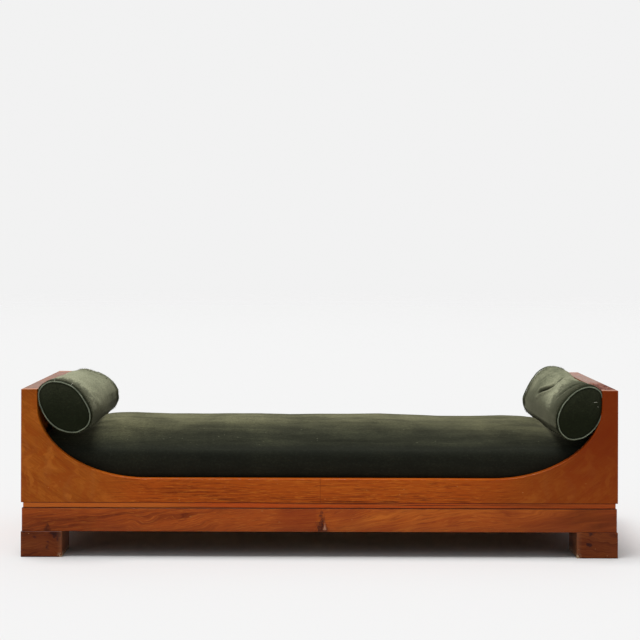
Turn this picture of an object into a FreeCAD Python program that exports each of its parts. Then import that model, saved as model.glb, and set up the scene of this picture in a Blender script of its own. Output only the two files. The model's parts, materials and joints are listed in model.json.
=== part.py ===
import FreeCAD, Part
import math
import os
import re
import Sketcher

# Wooden daybed: two end boards between boat-shaped side panels, on a recessed strip, a plinth of
# aprons and four block feet. Slats on ledgers carry a domed velvet mattress, and a velvet bolster
# lies against each end board, pressed a little into the mattress.
# Frame: X along the length, front at -Y, Z up, origin on the floor under the middle. Millimetres.

V = FreeCAD.Vector
UP = V(0, 0, 1)

# Driving dimensions: name, millimetres or count, what it is
DRIVING = (
    ("overall_length", 2100, "over the side panels, end to end"),
    ("overall_depth", 720, "over the two side panels"),
    ("overall_height", 590, "floor to the top of the end boards"),
    ("foot_side", 145, "block feet, square in plan"),
    ("foot_height", 90, "floor to the underside of the aprons"),
    ("apron_height", 82, "aprons of the plinth"),
    ("apron_inset", 3, "aprons behind the side panels"),
    ("strip_height", 20, "recessed strip between apron and side panel"),
    ("strip_inset", 7, "strip behind the side panels"),
    ("panel_thickness", 30, "side panels, and the inner line of aprons and strips"),
    ("board_thickness", 56, "end boards, and the horns of the side panels"),
    ("panel_middle_top", 276, "floor to the low top edge of the side panels"),
    ("sweep_length", 383, "level half-axis of the elliptical sweep"),
    ("sweep_start_height", 535, "floor to where the sweep leaves the horn"),
    ("arris_radius", 2, "rounding of the show edges"),
    ("block_side", 50, "corner blocks, square in plan"),
    ("long_screw_height", 146, "floor to the block screws of the long aprons"),
    ("end_screw_height", 160, "floor to the block screws of the end aprons"),
    ("stretcher_thickness", 40, "centre stretcher along X"),
    ("stretcher_height", 72, "centre stretcher along Z"),
    ("stretcher_dowel_gap", 34, "between the two dowels at each end of it"),
    ("ledger_lift", 8, "slat ledgers above the bottom of the side panels"),
    ("ledger_height", 26, "slat ledgers along Z"),
    ("ledger_depth", 28, "slat ledgers along Y"),
    ("end_clearance", 1, "ledgers short of the end boards, each end"),
    ("slat_count", 14, "slats"),
    ("slat_width", 70, "slats along X"),
    ("slat_thickness", 18, "slats along Z"),
    ("slat_clearance", 3, "slats short of the side panels, each end"),
    ("ledger_screw_step", 4, "slat gaps from one ledger screw to the next"),
    ("dowel_diameter", 12, "all dowels"),
    ("dowel_edge", 60, "panel dowels from the top and bottom of the end boards"),
    ("panel_dowel_depth", 16, "panel dowels into the side panels"),
    ("board_dowel_depth", 24, "panel dowels into the end boards"),
    ("plinth_dowel_depth", 16, "plinth dowels into apron, panel and board"),
    ("plinth_dowel_pitch", 500, "plinth dowels along the long sides"),
    ("stretcher_dowel_depth", 14, "stretcher dowels into the aprons"),
    ("stretcher_dowel_grip", 26, "stretcher dowels into the stretcher"),
    ("peg_diameter", 24, "pegs between feet and corner blocks"),
    ("peg_depth", 35, "pegs into each foot and block"),
    ("screw_diameter", 5, "shank of all screws"),
    ("screw_head", 10, "countersunk head of all screws"),
    ("screw_bite", 18, "screws into the second piece"),
    ("soft_clearance", 0.3, "soft pieces off what they rest on"),
    ("mattress_clearance", 4, "mattress off the side panels and end boards"),
    ("mattress_side", 138, "mattress underside to its shoulder seam"),
    ("mattress_corner", 22, "lower edge radius of the mattress"),
    ("mattress_shoulder", 30, "upper edge radius of the mattress"),
    ("mattress_end", 24, "radius of the rounded ends of the mattress"),
    ("mattress_draw", 3, "long sides drawn in at the middle"),
    ("crown_left", 82, "crown above the shoulder seam by the left bolster"),
    ("crown_middle", 77, "the same at the middle"),
    ("crown_right", 70, "the same by the right bolster"),
    ("bolster_length", 704, "bolsters between their end seams"),
    ("bolster_clearance", 0.4, "bolsters off the end boards"),
    ("bolster_sink", 41.5, "bolsters pressed into the mattress"),
    ("bolster_pull", 4, "end seams drawn in from the body of a bolster"),
    ("bolster_round", 30, "length over which a bolster draws in to its seam"),
    ("disc_crown", 6, "end discs domed beyond their seams"),
    ("piping_diameter", 5, "covered cord in the end seams"),
    ("piping_clearance", 0.15, "groove of a bolster round its cord"),
    ("left_half_width", 93.5, "left bolster along X, front and rear"),
    ("left_front_half_height", 95.5, "left bolster along Z at the front"),
    ("left_rear_half_height", 93.5, "left bolster along Z at the rear"),
    ("left_tilt", 16.5, "underside of the left bolster, front above rear"),
    ("right_front_half_width", 81, "right bolster along X at the front"),
    ("right_rear_half_width", 87, "right bolster along X at the rear"),
    ("right_front_half_height", 96, "right bolster along Z at the front"),
    ("right_rear_half_height", 104.5, "right bolster along Z at the rear"),
    ("right_tilt", 2, "underside of the right bolster, front above rear"),
    ("bolster_lean", 0.34, "share by which a bolster leans to its end board"),
)

# Places worked out from them
DERIVED = (
    ("half_length", "overall_length / 2"),
    ("half_depth", "overall_depth / 2"),
    ("inner_depth", "half_depth - panel_thickness"),
    ("inner_length", "half_length - board_thickness"),
    ("plinth_half_length", "half_length - panel_thickness"),
    ("apron_top", "foot_height + apron_height"),
    ("panel_bottom", "apron_top + strip_height"),
    ("sweep_rise", "sweep_start_height - panel_middle_top"),
    ("sweep_foot", "inner_length - sweep_length"),
    ("strip_middle", "(strip_inset + panel_thickness) / 2"),
    ("block_middle", "panel_thickness + block_side / 2"),
    ("board_seat", "(panel_thickness + board_thickness) / 2"),
    ("stretcher_middle", "apron_top - stretcher_height / 2"),
    ("ledger_bottom", "panel_bottom + ledger_lift"),
    ("ledger_top", "ledger_bottom + ledger_height"),
    ("slat_top", "ledger_top + slat_thickness"),
    ("slat_pitch", "2 * inner_length / slat_count"),
    ("slat_half_span", "inner_depth - slat_clearance"),
    ("ledger_middle", "inner_depth - ledger_depth / 2"),
    ("lower_dowel", "panel_bottom + dowel_edge"),
    ("upper_dowel", "overall_height - dowel_edge"),
)

doc = FreeCAD.newDocument("recamier")
sheet = doc.addObject("Spreadsheet::Sheet", "Sizes")
for row, (alias, number, note) in enumerate(DRIVING, start=1):
    sheet.set(f"A{row}", note)
    sheet.set(f"B{row}", str(number))
    sheet.setAlias(f"B{row}", alias)
for row, (alias, formula) in enumerate(DERIVED, start=len(DRIVING) + 1):
    sheet.set(f"B{row}", "=" + formula)
    sheet.setAlias(f"B{row}", alias)
doc.recompute()


def size(alias):
    return float(sheet.get(alias))


def bound(text):
    """The expression with each size read from the sheet."""
    return re.sub(r"\b[a-z]+(?:_[a-z]+)+\b", lambda word: "Sizes." + word.group(0), text)


# Places along the length, counted from the middle in shares of a pitch
PLINTH_DOWELS = (-1.5, -0.5, 0.5, 1.5)


def slat_shares():
    count = int(size("slat_count"))
    return [i + 0.5 - count / 2 for i in range(count)]


def ledger_screw_shares():
    """Midway between slats, so that these screws never meet the slat screws."""
    return [share + 0.5 for share in slat_shares()[:-1:int(size("ledger_screw_step"))]]


def in_slat_pitches(shares):
    return [f"{share} * slat_pitch" for share in shares]


def in_dowel_pitches(shares):
    return [f"{share} * plinth_dowel_pitch" for share in shares]


# Sketches and features

def new_body(name):
    body = doc.addObject("PartDesign::Body", name)
    body.Label = name
    return body


def sketch_on(body, plane, offset="0"):
    """A sketch on one of the body's origin planes, moved along that plane's normal."""
    sketch = body.newObject("Sketcher::SketchObject", body.Name + "_sketch")
    (support,) = [p for p in body.Origin.OriginFeatures if p.Role == plane]
    sketch.AttachmentSupport = (support, [""])
    sketch.MapMode = "FlatFace"
    sketch.setExpression("AttachmentOffset.Base.z", bound(offset))
    return sketch


def pin_point(sketch, geometry, point, across=None, up=None):
    """Holds a point of a sketch at expressions from the origin, along one axis or both."""
    spot = sketch.getPoint(geometry, point)
    for kind, text, number in (("DistanceX", across, spot.x), ("DistanceY", up, spot.y)):
        if text is not None:
            held = sketch.addConstraint(Sketcher.Constraint(kind, -1, 1, geometry, point, number))
            sketch.setExpression(f"Constraints[{held}]", bound(text))


def draw_rectangle(sketch, left, bottom, right, top):
    corners = [V(-50, -50, 0), V(50, -50, 0), V(50, 50, 0), V(-50, 50, 0)]
    for a, b in zip(corners, corners[1:] + corners[:1]):
        sketch.addGeometry(Part.LineSegment(a, b), False)
    for i in range(4):
        sketch.addConstraint(Sketcher.Constraint("Coincident", i, 2, (i + 1) % 4, 1))
        direction = "Horizontal" if i % 2 == 0 else "Vertical"
        sketch.addConstraint(Sketcher.Constraint(direction, i))
    pin_point(sketch, 0, 1, left, bottom)
    pin_point(sketch, 1, 2, right, top)


def add_pad(body, sketch, length):
    pad = body.newObject("PartDesign::Pad", body.Name + "_pad")
    pad.Profile = sketch
    pad.setExpression("Length", bound(length))
    doc.recompute()
    return pad


def drill(body, plane, offset, spots, diameter, depth, along):
    """Blind or through holes from a plane, along its normal or against it."""
    before = body.Shape.Volume
    sketch = sketch_on(body, plane, offset)
    for i, (across, up) in enumerate(spots):
        sketch.addGeometry(Part.Circle(V(0, 0, 0), UP, size("dowel_diameter") / 2), False)
        held = sketch.addConstraint(Sketcher.Constraint("Diameter", i, size("dowel_diameter")))
        sketch.setExpression(f"Constraints[{held}]", bound(diameter))
        pin_point(sketch, i, 3, across, up)
    pocket = body.newObject("PartDesign::Pocket", body.Name + "_holes")
    pocket.Profile = sketch
    pocket.Reversed = along
    pocket.setExpression("Length", bound(depth))
    doc.recompute()
    if not body.Shape.Volume < before - 1:
        raise ValueError(f"{body.Label}: holes from {plane} miss the wood")


def edge_names(shape, wanted):
    return [f"Edge{i}" for i, edge in enumerate(shape.Edges, start=1) if wanted(edge)]


def dress(body, kind, wanted, **bindings):
    """A fillet or chamfer on the body's edges that the test picks."""
    base = body.Tip
    names = edge_names(base.Shape, wanted)
    if not names:
        raise ValueError(f"{body.Label}: no edge for the {kind.lower()}")
    feature = body.newObject("PartDesign::" + kind, f"{body.Name}_{kind.lower()}")
    feature.Base = (base, names)
    for prop, text in bindings.items():
        feature.setExpression(prop, bound(text))
    doc.recompute()


def near(a, b):
    return abs(a - b) < 0.01


def countersink(body, axis, level):
    """Cone for a screw head on each shank hole that opens at a level along an axis."""
    def mouth(edge):
        if not isinstance(edge.Curve, Part.Circle):
            return False
        centre = getattr(edge.Curve.Center, axis)
        return near(edge.Curve.Radius, size("screw_diameter") / 2) and near(centre, level)
    dress(body, "Chamfer", mouth, Size="(screw_head - screw_diameter) / 2")


def turn_half(body):
    """The rear or right twin of a piece that is drawn at the front or the left."""
    body.Placement = FreeCAD.Placement(V(0, 0, 0), FreeCAD.Rotation(UP, 180))


def put_at(thing, **places):
    for axis, text in places.items():
        thing.setExpression(f"Placement.Base.{axis}", bound(text))


# Side panels: outline with a horn at each end and an elliptical sweep down to the low middle edge

def sweep_arc(side):
    """Quarter of an ellipse from the horn's inner edge down to the low middle edge."""
    middle = V(side * size("sweep_foot"), size("sweep_start_height"), 0)
    level = V(size("sweep_length"), 0, 0)
    upright = V(0, size("sweep_rise"), 0)
    if size("sweep_length") > size("sweep_rise"):
        ellipse = Part.Ellipse(middle + level, middle + upright, middle)
        turned = 0.0
    else:
        ellipse = Part.Ellipse(middle + upright, middle - level, middle)
        turned = math.pi / 2
    start, end = (-math.pi / 2, 0.0) if side > 0 else (math.pi, 1.5 * math.pi)
    return Part.ArcOfEllipse(ellipse, start - turned, end - turned)


def draw_panel_outline(sketch):
    length, height = size("half_length"), size("overall_height")
    horn, foot = size("inner_length"), size("sweep_foot")
    bottom, start, low = size("panel_bottom"), size("sweep_start_height"), size("panel_middle_top")
    right = [(length, bottom), (length, height), (horn, height), (horn, start), (foot, low)]
    ring = [V(x, z, 0) for x, z in right] + [V(-x, z, 0) for x, z in reversed(right)]
    for i, (a, b) in enumerate(zip(ring, ring[1:] + ring[:1])):
        if i == 3:
            sketch.addGeometry(sweep_arc(1), False)
        elif i == 5:
            sketch.addGeometry(sweep_arc(-1), False)
        else:
            sketch.addGeometry(Part.LineSegment(a, b), False)
    # both arcs run counterclockwise, against the order of the outline
    ends = {3: (2, 1), 5: (2, 1)}
    for i in range(10):
        last = ends.get(i, (1, 2))[1]
        first = ends.get((i + 1) % 10, (1, 2))[0]
        sketch.addConstraint(Sketcher.Constraint("Coincident", i, last, (i + 1) % 10, first))
    for i in (0, 2, 6, 8):
        sketch.addConstraint(Sketcher.Constraint("Vertical", i))
    for i in (1, 4, 7, 9):
        sketch.addConstraint(Sketcher.Constraint("Horizontal", i))
    pin_point(sketch, 0, 1, "half_length", "panel_bottom")
    pin_point(sketch, 1, 1, None, "overall_height")
    pin_point(sketch, 1, 2, "inner_length")
    pin_point(sketch, 2, 2, None, "sweep_start_height")
    pin_point(sketch, 4, 1, "sweep_foot", "panel_middle_top")
    pin_point(sketch, 4, 2, "-sweep_foot")
    pin_point(sketch, 6, 1, None, "sweep_start_height")
    pin_point(sketch, 7, 1, "-inner_length")
    pin_point(sketch, 7, 2, "-half_length", "overall_height")
    # with its ends and middle held and its long axis square, each arc is a true quarter
    for arc, sign in ((3, ""), (5, "-")):
        long_axis = len(sketch.Geometry)
        sketch.exposeInternalGeometry(arc)
        square = "Horizontal" if size("sweep_length") > size("sweep_rise") else "Vertical"
        sketch.addConstraint(Sketcher.Constraint(square, long_axis))
        pin_point(sketch, arc, 3, sign + "sweep_foot", "sweep_start_height")


def make_side_panel(name, rear):
    body = new_body(name)
    sketch = sketch_on(body, "XZ_Plane", "inner_depth")
    draw_panel_outline(sketch)
    add_pad(body, sketch, "panel_thickness")
    ends = ("-half_length + board_thickness / 2", "half_length - board_thickness / 2")
    dowels = [(x, z) for x in ends for z in ("lower_dowel", "upper_dowel")]
    drill(body, "XZ_Plane", "inner_depth", dowels, "dowel_diameter", "panel_dowel_depth", True)
    screws = [(x, "ledger_bottom + ledger_height / 2") for x in in_slat_pitches(ledger_screw_shares())]
    drill(body, "XZ_Plane", "inner_depth", screws, "screw_diameter", "screw_bite", True)
    dowels = [(x, "-half_depth + strip_middle") for x in in_dowel_pitches(PLINTH_DOWELS)]
    drill(body, "XY_Plane", "panel_bottom", dowels, "dowel_diameter", "plinth_dowel_depth", True)

    def show_edge(edge):
        box = edge.BoundBox
        if isinstance(edge.Curve, Part.Circle):
            return False
        face = near(box.YMax, -size("half_depth"))
        top = near(box.ZMin, size("overall_height")) and near(box.XMin, box.XMax)
        low = near(box.YMin, -size("inner_depth")) and near(box.ZMin, size("panel_middle_top"))
        return face or top or low
    dress(body, "Fillet", show_edge, Radius="arris_radius")
    if rear:
        turn_half(body)


# End boards stand between the side panels

def make_end_board(name, right):
    body = new_body(name)
    sketch = sketch_on(body, "XZ_Plane", "-inner_depth")
    draw_rectangle(sketch, "-half_length", "panel_bottom", "-inner_length", "overall_height")
    add_pad(body, sketch, "2 * inner_depth")
    dowels = [("-half_length + board_thickness / 2", z) for z in ("lower_dowel", "upper_dowel")]
    drill(body, "XZ_Plane", "inner_depth", dowels, "dowel_diameter", "board_dowel_depth", False)
    drill(body, "XZ_Plane", "-inner_depth", dowels, "dowel_diameter", "board_dowel_depth", True)
    below = [("-half_length + strip_middle", "0")]
    below += [("-half_length + board_seat", f"{sign} (half_depth - block_middle)") for sign in ("", "-")]
    drill(body, "XY_Plane", "panel_bottom", below, "dowel_diameter", "plinth_dowel_depth", True)

    def top_edge(edge):
        box = edge.BoundBox
        return near(box.ZMin, size("overall_height")) and near(box.XMin, box.XMax)
    dress(body, "Fillet", top_edge, Radius="arris_radius")
    if right:
        turn_half(body)


# Recessed strips between the plinth and the upper box

def make_long_strip(name, rear):
    body = new_body(name)
    sketch = sketch_on(body, "XY_Plane", "apron_top")
    draw_rectangle(sketch, "-half_length + strip_inset", "-half_depth + strip_inset",
                   "half_length - strip_inset", "-inner_depth")
    add_pad(body, sketch, "strip_height")
    dowels = [(x, "-half_depth + strip_middle") for x in in_dowel_pitches(PLINTH_DOWELS)]
    drill(body, "XY_Plane", "apron_top", dowels, "dowel_diameter", "strip_height", True)
    if rear:
        turn_half(body)


def make_end_strip(name, right):
    body = new_body(name)
    sketch = sketch_on(body, "XY_Plane", "apron_top")
    draw_rectangle(sketch, "-half_length + strip_inset", "-inner_depth",
                   "-plinth_half_length", "inner_depth")
    add_pad(body, sketch, "strip_height")
    dowel = [("-half_length + strip_middle", "0")]
    drill(body, "XY_Plane", "apron_top", dowel, "dowel_diameter", "strip_height", True)
    if right:
        turn_half(body)


# Plinth: aprons, feet, corner blocks and the stretcher

def make_long_apron(name, rear):
    body = new_body(name)
    sketch = sketch_on(body, "XZ_Plane", "inner_depth")
    draw_rectangle(sketch, "-half_length + apron_inset", "foot_height",
                   "half_length - apron_inset", "apron_top")
    add_pad(body, sketch, "panel_thickness - apron_inset")
    screws = [(f"{sign} (half_length - block_middle)", "long_screw_height") for sign in ("", "-")]
    drill(body, "XZ_Plane", "inner_depth", screws, "screw_diameter", "screw_bite", True)
    drill(body, "XZ_Plane", "inner_depth", stretcher_dowel_places(), "dowel_diameter",
          "stretcher_dowel_depth", True)
    dowels = [(x, "-half_depth + strip_middle") for x in in_dowel_pitches(PLINTH_DOWELS)]
    drill(body, "XY_Plane", "apron_top", dowels, "dowel_diameter", "plinth_dowel_depth", False)

    def show_edge(edge):
        box = edge.BoundBox
        return near(box.YMax, -size("half_depth") + size("apron_inset"))
    dress(body, "Fillet", show_edge, Radius="arris_radius")
    if rear:
        turn_half(body)


def make_end_apron(name, right):
    body = new_body(name)
    sketch = sketch_on(body, "YZ_Plane", "-half_length + apron_inset")
    draw_rectangle(sketch, "-inner_depth", "foot_height", "inner_depth", "apron_top")
    add_pad(body, sketch, "panel_thickness - apron_inset")
    screws = [(f"{sign} (half_depth - block_middle)", "end_screw_height") for sign in ("", "-")]
    drill(body, "YZ_Plane", "-plinth_half_length", screws, "screw_diameter", "screw_bite", False)
    dowel = [("-half_length + strip_middle", "0")]
    drill(body, "XY_Plane", "apron_top", dowel, "dowel_diameter", "plinth_dowel_depth", False)
    if right:
        turn_half(body)


def stretcher_dowel_places():
    return [("0", f"stretcher_middle + {sign} * stretcher_dowel_gap / 2") for sign in (-1, 1)]


def make_stretcher(name):
    body = new_body(name)
    sketch = sketch_on(body, "XZ_Plane", "-inner_depth")
    draw_rectangle(sketch, "-stretcher_thickness / 2", "apron_top - stretcher_height",
                   "stretcher_thickness / 2", "apron_top")
    add_pad(body, sketch, "2 * inner_depth")
    for offset, along in (("inner_depth", False), ("-inner_depth", True)):
        drill(body, "XZ_Plane", offset, stretcher_dowel_places(), "dowel_diameter",
              "stretcher_dowel_grip", along)


def make_foot(name, side_x, side_y):
    """Block foot, drawn about its own middle."""
    body = new_body(name)
    sketch = sketch_on(body, "XY_Plane")
    draw_rectangle(sketch, "-foot_side / 2", "-foot_side / 2", "foot_side / 2", "foot_side / 2")
    add_pad(body, sketch, "foot_height")
    off = "(foot_side / 2 - block_middle)"
    peg = [(f"{side_x} * {off}", f"{side_y} * {off}")]
    drill(body, "XY_Plane", "foot_height", peg, "peg_diameter", "peg_depth", False)

    def outer_edge(edge):
        return not isinstance(edge.Curve, Part.Circle)
    dress(body, "Fillet", outer_edge, Radius="arris_radius")
    put_at(body, x=f"{side_x} * (half_length - foot_side / 2)",
           y=f"{side_y} * (half_depth - foot_side / 2)")


def make_corner_block(name, side_x, side_y):
    """Square block inside a corner, drawn about its own axis, from the foot to the end board."""
    body = new_body(name)
    sketch = sketch_on(body, "XY_Plane", "foot_height")
    draw_rectangle(sketch, "-block_side / 2", "-block_side / 2", "block_side / 2", "block_side / 2")
    add_pad(body, sketch, "panel_bottom - foot_height")
    drill(body, "XY_Plane", "foot_height", [("0", "0")], "peg_diameter", "peg_depth", True)
    dowel = [(f"{side_x} * (block_middle - board_seat)", "0")]
    drill(body, "XY_Plane", "panel_bottom", dowel, "dowel_diameter", "plinth_dowel_depth", False)
    # the screw holes start at the faces away from the aprons
    drill(body, "XZ_Plane", f"{side_y} * block_side / 2", [("0", "long_screw_height")],
          "screw_diameter", "block_side", side_y < 0)
    countersink(body, "y", -side_y * size("block_side") / 2)
    drill(body, "YZ_Plane", f"{-side_x} * block_side / 2", [("0", "end_screw_height")],
          "screw_diameter", "block_side", side_x > 0)
    countersink(body, "x", -side_x * size("block_side") / 2)
    put_at(body, x=f"{side_x} * (half_length - block_middle)",
           y=f"{side_y} * (half_depth - block_middle)")


# Ledgers and slats

def make_ledger(name, rear):
    body = new_body(name)
    sketch = sketch_on(body, "XZ_Plane", "inner_depth - ledger_depth")
    draw_rectangle(sketch, "-inner_length + end_clearance", "ledger_bottom",
                   "inner_length - end_clearance", "ledger_top")
    add_pad(body, sketch, "ledger_depth")
    screws = [(x, "ledger_bottom + ledger_height / 2") for x in in_slat_pitches(ledger_screw_shares())]
    drill(body, "XZ_Plane", "inner_depth - ledger_depth", screws, "screw_diameter",
          "ledger_depth", True)
    countersink(body, "y", -size("inner_depth") + size("ledger_depth"))
    pilots = [(x, "-ledger_middle") for x in in_slat_pitches(slat_shares())]
    drill(body, "XY_Plane", "ledger_top", pilots, "screw_diameter", "screw_bite", False)
    if rear:
        turn_half(body)


def make_slat(name, share):
    body = new_body(name)
    sketch = sketch_on(body, "XY_Plane", "ledger_top")
    draw_rectangle(sketch, "-slat_width / 2", "-slat_half_span", "slat_width / 2", "slat_half_span")
    add_pad(body, sketch, "slat_thickness")
    screws = [("0", "-ledger_middle"), ("0", "ledger_middle")]
    drill(body, "XY_Plane", "slat_top", screws, "screw_diameter", "slat_thickness", False)
    countersink(body, "z", size("slat_top"))
    put_at(body, x=f"{share} * slat_pitch")


# Screws and dowels: one pattern piece of each kind, copied to its places

def screw_solid(length):
    """Countersunk screw with its head's top at the origin, pointing down."""
    shank, head = size("screw_diameter") / 2, size("screw_head") / 2
    outline = [V(0, 0, 0), V(head, 0, 0), V(shank, 0, shank - head), V(shank, 0, -length),
               V(0, 0, -length), V(0, 0, 0)]
    return Part.Face(Part.makePolygon(outline)).revolve(V(0, 0, 0), UP, 360)


def dowel_solid(diameter, length):
    """Dowel about the origin, along Z."""
    return Part.makeCylinder(diameter / 2, length, V(0, 0, -length / 2), UP)


def add_group(name, solid, places):
    """A node of like pieces: copies of one solid, each pointed along a direction at a point."""
    copies = []
    for point, direction in places:
        turned = FreeCAD.Rotation(UP, V(*direction))
        copies.append(solid.transformed(FreeCAD.Placement(V(*point), turned).toMatrix()))
    group = doc.addObject("Part::Feature", name)
    group.Label = name
    group.Shape = Part.makeCompound(copies)


def add_fasteners():
    half_length, half_depth = size("half_length"), size("half_depth")
    inner_depth, block = size("inner_depth"), size("block_middle")
    corners = [(sx, sy) for sx in (-1, 1) for sy in (-1, 1)]
    screw_places = []
    for share in slat_shares():
        x = share * size("slat_pitch")
        screw_places += [((x, sy * size("ledger_middle"), size("slat_top")), (0, 0, 1)) for sy in (-1, 1)]
    add_group("slat_screws", screw_solid(size("slat_thickness") + size("screw_bite")), screw_places)
    screw_places = []
    face = inner_depth - size("ledger_depth")
    level = size("ledger_bottom") + size("ledger_height") / 2
    for share in ledger_screw_shares():
        x = share * size("slat_pitch")
        screw_places += [((-sy * x, sy * face, level), (0, -sy, 0)) for sy in (-1, 1)]
    add_group("ledger_screws", screw_solid(size("ledger_depth") + size("screw_bite")), screw_places)
    screw_places = []
    face = block + size("block_side") / 2
    for sx, sy in corners:
        screw_places.append(((sx * (half_length - block), sy * (half_depth - face),
                              size("long_screw_height")), (0, -sy, 0)))
        screw_places.append(((sx * (half_length - face), sy * (half_depth - block),
                              size("end_screw_height")), (-sx, 0, 0)))
    add_group("corner_block_screws", screw_solid(size("block_side") + size("screw_bite")), screw_places)

    thick = size("dowel_diameter")
    reach = size("panel_dowel_depth") + size("board_dowel_depth")
    shift = (size("board_dowel_depth") - size("panel_dowel_depth")) / 2
    places = []
    for sx, sy in corners:
        for z in (size("lower_dowel"), size("upper_dowel")):
            x = sx * (half_length - size("board_thickness") / 2)
            places.append(((x, sy * (inner_depth - shift), z), (0, 1, 0)))
    add_group("panel_dowels", dowel_solid(thick, reach), places)
    middle = size("apron_top") + size("strip_height") / 2
    reach = size("strip_height") + 2 * size("plinth_dowel_depth")
    places = []
    for share in PLINTH_DOWELS:
        x = share * size("plinth_dowel_pitch")
        y = half_depth - size("strip_middle")
        places += [((x, sy * y, middle), (0, 0, 1)) for sy in (-1, 1)]
    places += [((sx * (half_length - size("strip_middle")), 0, middle), (0, 0, 1)) for sx in (-1, 1)]
    add_group("plinth_dowels", dowel_solid(thick, reach), places)
    places = [((sx * (half_length - size("board_seat")), sy * (half_depth - block),
                size("panel_bottom")), (0, 0, 1)) for sx, sy in corners]
    add_group("board_dowels", dowel_solid(thick, 2 * size("plinth_dowel_depth")), places)
    reach = size("stretcher_dowel_depth") + size("stretcher_dowel_grip")
    shift = (size("stretcher_dowel_grip") - size("stretcher_dowel_depth")) / 2
    places = []
    for sy in (-1, 1):
        for sign in (-1, 1):
            z = size("stretcher_middle") + sign * size("stretcher_dowel_gap") / 2
            places.append(((0, sy * (inner_depth - shift), z), (0, 1, 0)))
    add_group("stretcher_dowels", dowel_solid(thick, reach), places)
    places = [((sx * (half_length - block), sy * (half_depth - block), size("foot_height")), (0, 0, 1))
              for sx, sy in corners]
    add_group("foot_pegs", dowel_solid(size("peg_diameter"), 2 * size("peg_depth")), places)


# Bolsters: leaning ovals along Y, drawn in to a seam at each end, with domed end discs

END_STEPS = 4
# where the tip arcs of an oval pass into its side arcs, measured from the long axis
JOIN = math.radians(50)


class Oval:
    """Four tangent arcs that stand in for an ellipse, its long axis turned from level."""

    def __init__(self, half_width, half_height, lean, shrink):
        across, up = half_width ** 2, half_height ** 2
        mixed = lean * half_width * half_height
        spread = math.hypot((up - across) / 2, mixed)
        long_half = math.sqrt((across + up) / 2 + spread)
        short_half = math.sqrt((across + up) / 2 - spread)
        self.turned = 0.5 * math.atan2(2 * mixed, across - up)
        self.tip_away = (long_half - short_half) / (1 + math.tan(JOIN) - 1 / math.cos(JOIN))
        self.side_away = self.tip_away * math.tan(JOIN)
        self.tip_radius = long_half - self.tip_away - shrink
        self.side_radius = short_half + self.side_away - shrink

    def arc_at(self, facing):
        """Middle and radius of the arc that faces a direction, measured from the long axis."""
        if abs(math.sin(facing)) <= math.sin(JOIN) + 1e-9:
            return math.copysign(self.tip_away, math.cos(facing)), 0.0, self.tip_radius
        return 0.0, -math.copysign(self.side_away, math.sin(facing)), self.side_radius

    def reach(self, direction):
        """How far the oval reaches from its middle in a direction measured from level."""
        facing = direction - self.turned
        along, beside, radius = self.arc_at(facing)
        return along * math.cos(facing) + beside * math.sin(facing) + radius

    def point(self, facing, middle_of):
        """Point that faces a direction, on the arc that faces another one."""
        along, beside, radius = self.arc_at(middle_of)
        along += radius * math.cos(facing)
        beside += radius * math.sin(facing)
        cos, sin = math.cos(self.turned), math.sin(self.turned)
        return along * cos - beside * sin, along * sin + beside * cos

    def wire(self, x, y, z):
        edges = []
        for start, end in ((-JOIN, JOIN), (JOIN, math.pi - JOIN),
                           (math.pi - JOIN, math.pi + JOIN), (math.pi + JOIN, 2 * math.pi - JOIN)):
            middle = (start + end) / 2
            spots = [self.point(facing, middle) for facing in (start, middle, end)]
            edges.append(Part.Arc(*[V(x + across, y, z + up) for across, up in spots]).toShape())
        return Part.Wire(edges)


class Bolster:
    """Sizes of one bolster from the sheet: side is -1 for the left one and 1 for the right one."""

    def __init__(self, name, side, crown, widths, heights, tilt):
        self.name = name
        self.side = side
        self.lean = side * size("bolster_lean")
        self.widths = widths
        self.heights = heights
        self.tilt = tilt
        shoulder = size("slat_top") + size("soft_clearance") + size("mattress_side")
        self.bottom = shoulder + crown - size("bolster_sink")

    def section(self, y, shrink):
        """Closed wire of the body at a place along Y, less a margin all round."""
        share = y / size("bolster_length") + 0.5
        half_width = self.widths[0] + share * (self.widths[1] - self.widths[0])
        half_height = self.heights[0] + share * (self.heights[1] - self.heights[0])
        whole = Oval(half_width, half_height, self.lean, 0.0)
        to_board = 0.0 if self.side > 0 else math.pi
        x = self.side * (size("inner_length") - size("bolster_clearance") - whole.reach(to_board))
        z = self.bottom + self.tilt * (0.5 - share) + whole.reach(-math.pi / 2)
        return Oval(half_width, half_height, self.lean, shrink).wire(x, y, z)

    def body(self, grow=0.0):
        """The covered roll between its end seams, or the same with a margin all round."""
        half = size("bolster_length") / 2 + grow
        stations = []
        for step in range(END_STEPS + 1):
            left = 1 - step / END_STEPS
            stations.append((half - (1 - left) * size("bolster_round"), size("bolster_pull") * left ** 3))
        places = [(-y, shrink) for y, shrink in stations]
        places += [(y, shrink) for y, shrink in reversed(stations)]
        wires = [self.section(y, shrink - grow) for y, shrink in places]
        return Part.makeLoft(wires, True, True)

    def end_disc(self, end):
        """Shallow dome of an end disc, from its seam outwards."""
        half = size("bolster_length") / 2
        small = min(self.widths + self.heights)
        # share of the half width drawn in, share of the crown reached
        steps = ((0.0, 0.0), (0.15, 0.6), (0.3, 0.9), (0.5, 1.0))
        wires = []
        for inward, out in steps:
            y = end * (half + out * size("disc_crown"))
            wires.append(self.section(y, size("bolster_pull") + inward * small))
        return Part.makeLoft(wires, True, True)

    def piping(self, end, grow=0.0):
        """Covered cord along the end seam, or the same with a margin all round."""
        path = self.section(end * size("bolster_length") / 2, size("bolster_pull"))
        first = path.OrderedEdges[0]
        start = first.valueAt(first.FirstParameter)
        heading = first.tangentAt(first.FirstParameter)
        rim = Part.Circle(start, heading, size("piping_diameter") / 2 + grow)
        return path.makePipeShell([Part.Wire(rim.toShape())], True, False)


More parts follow.
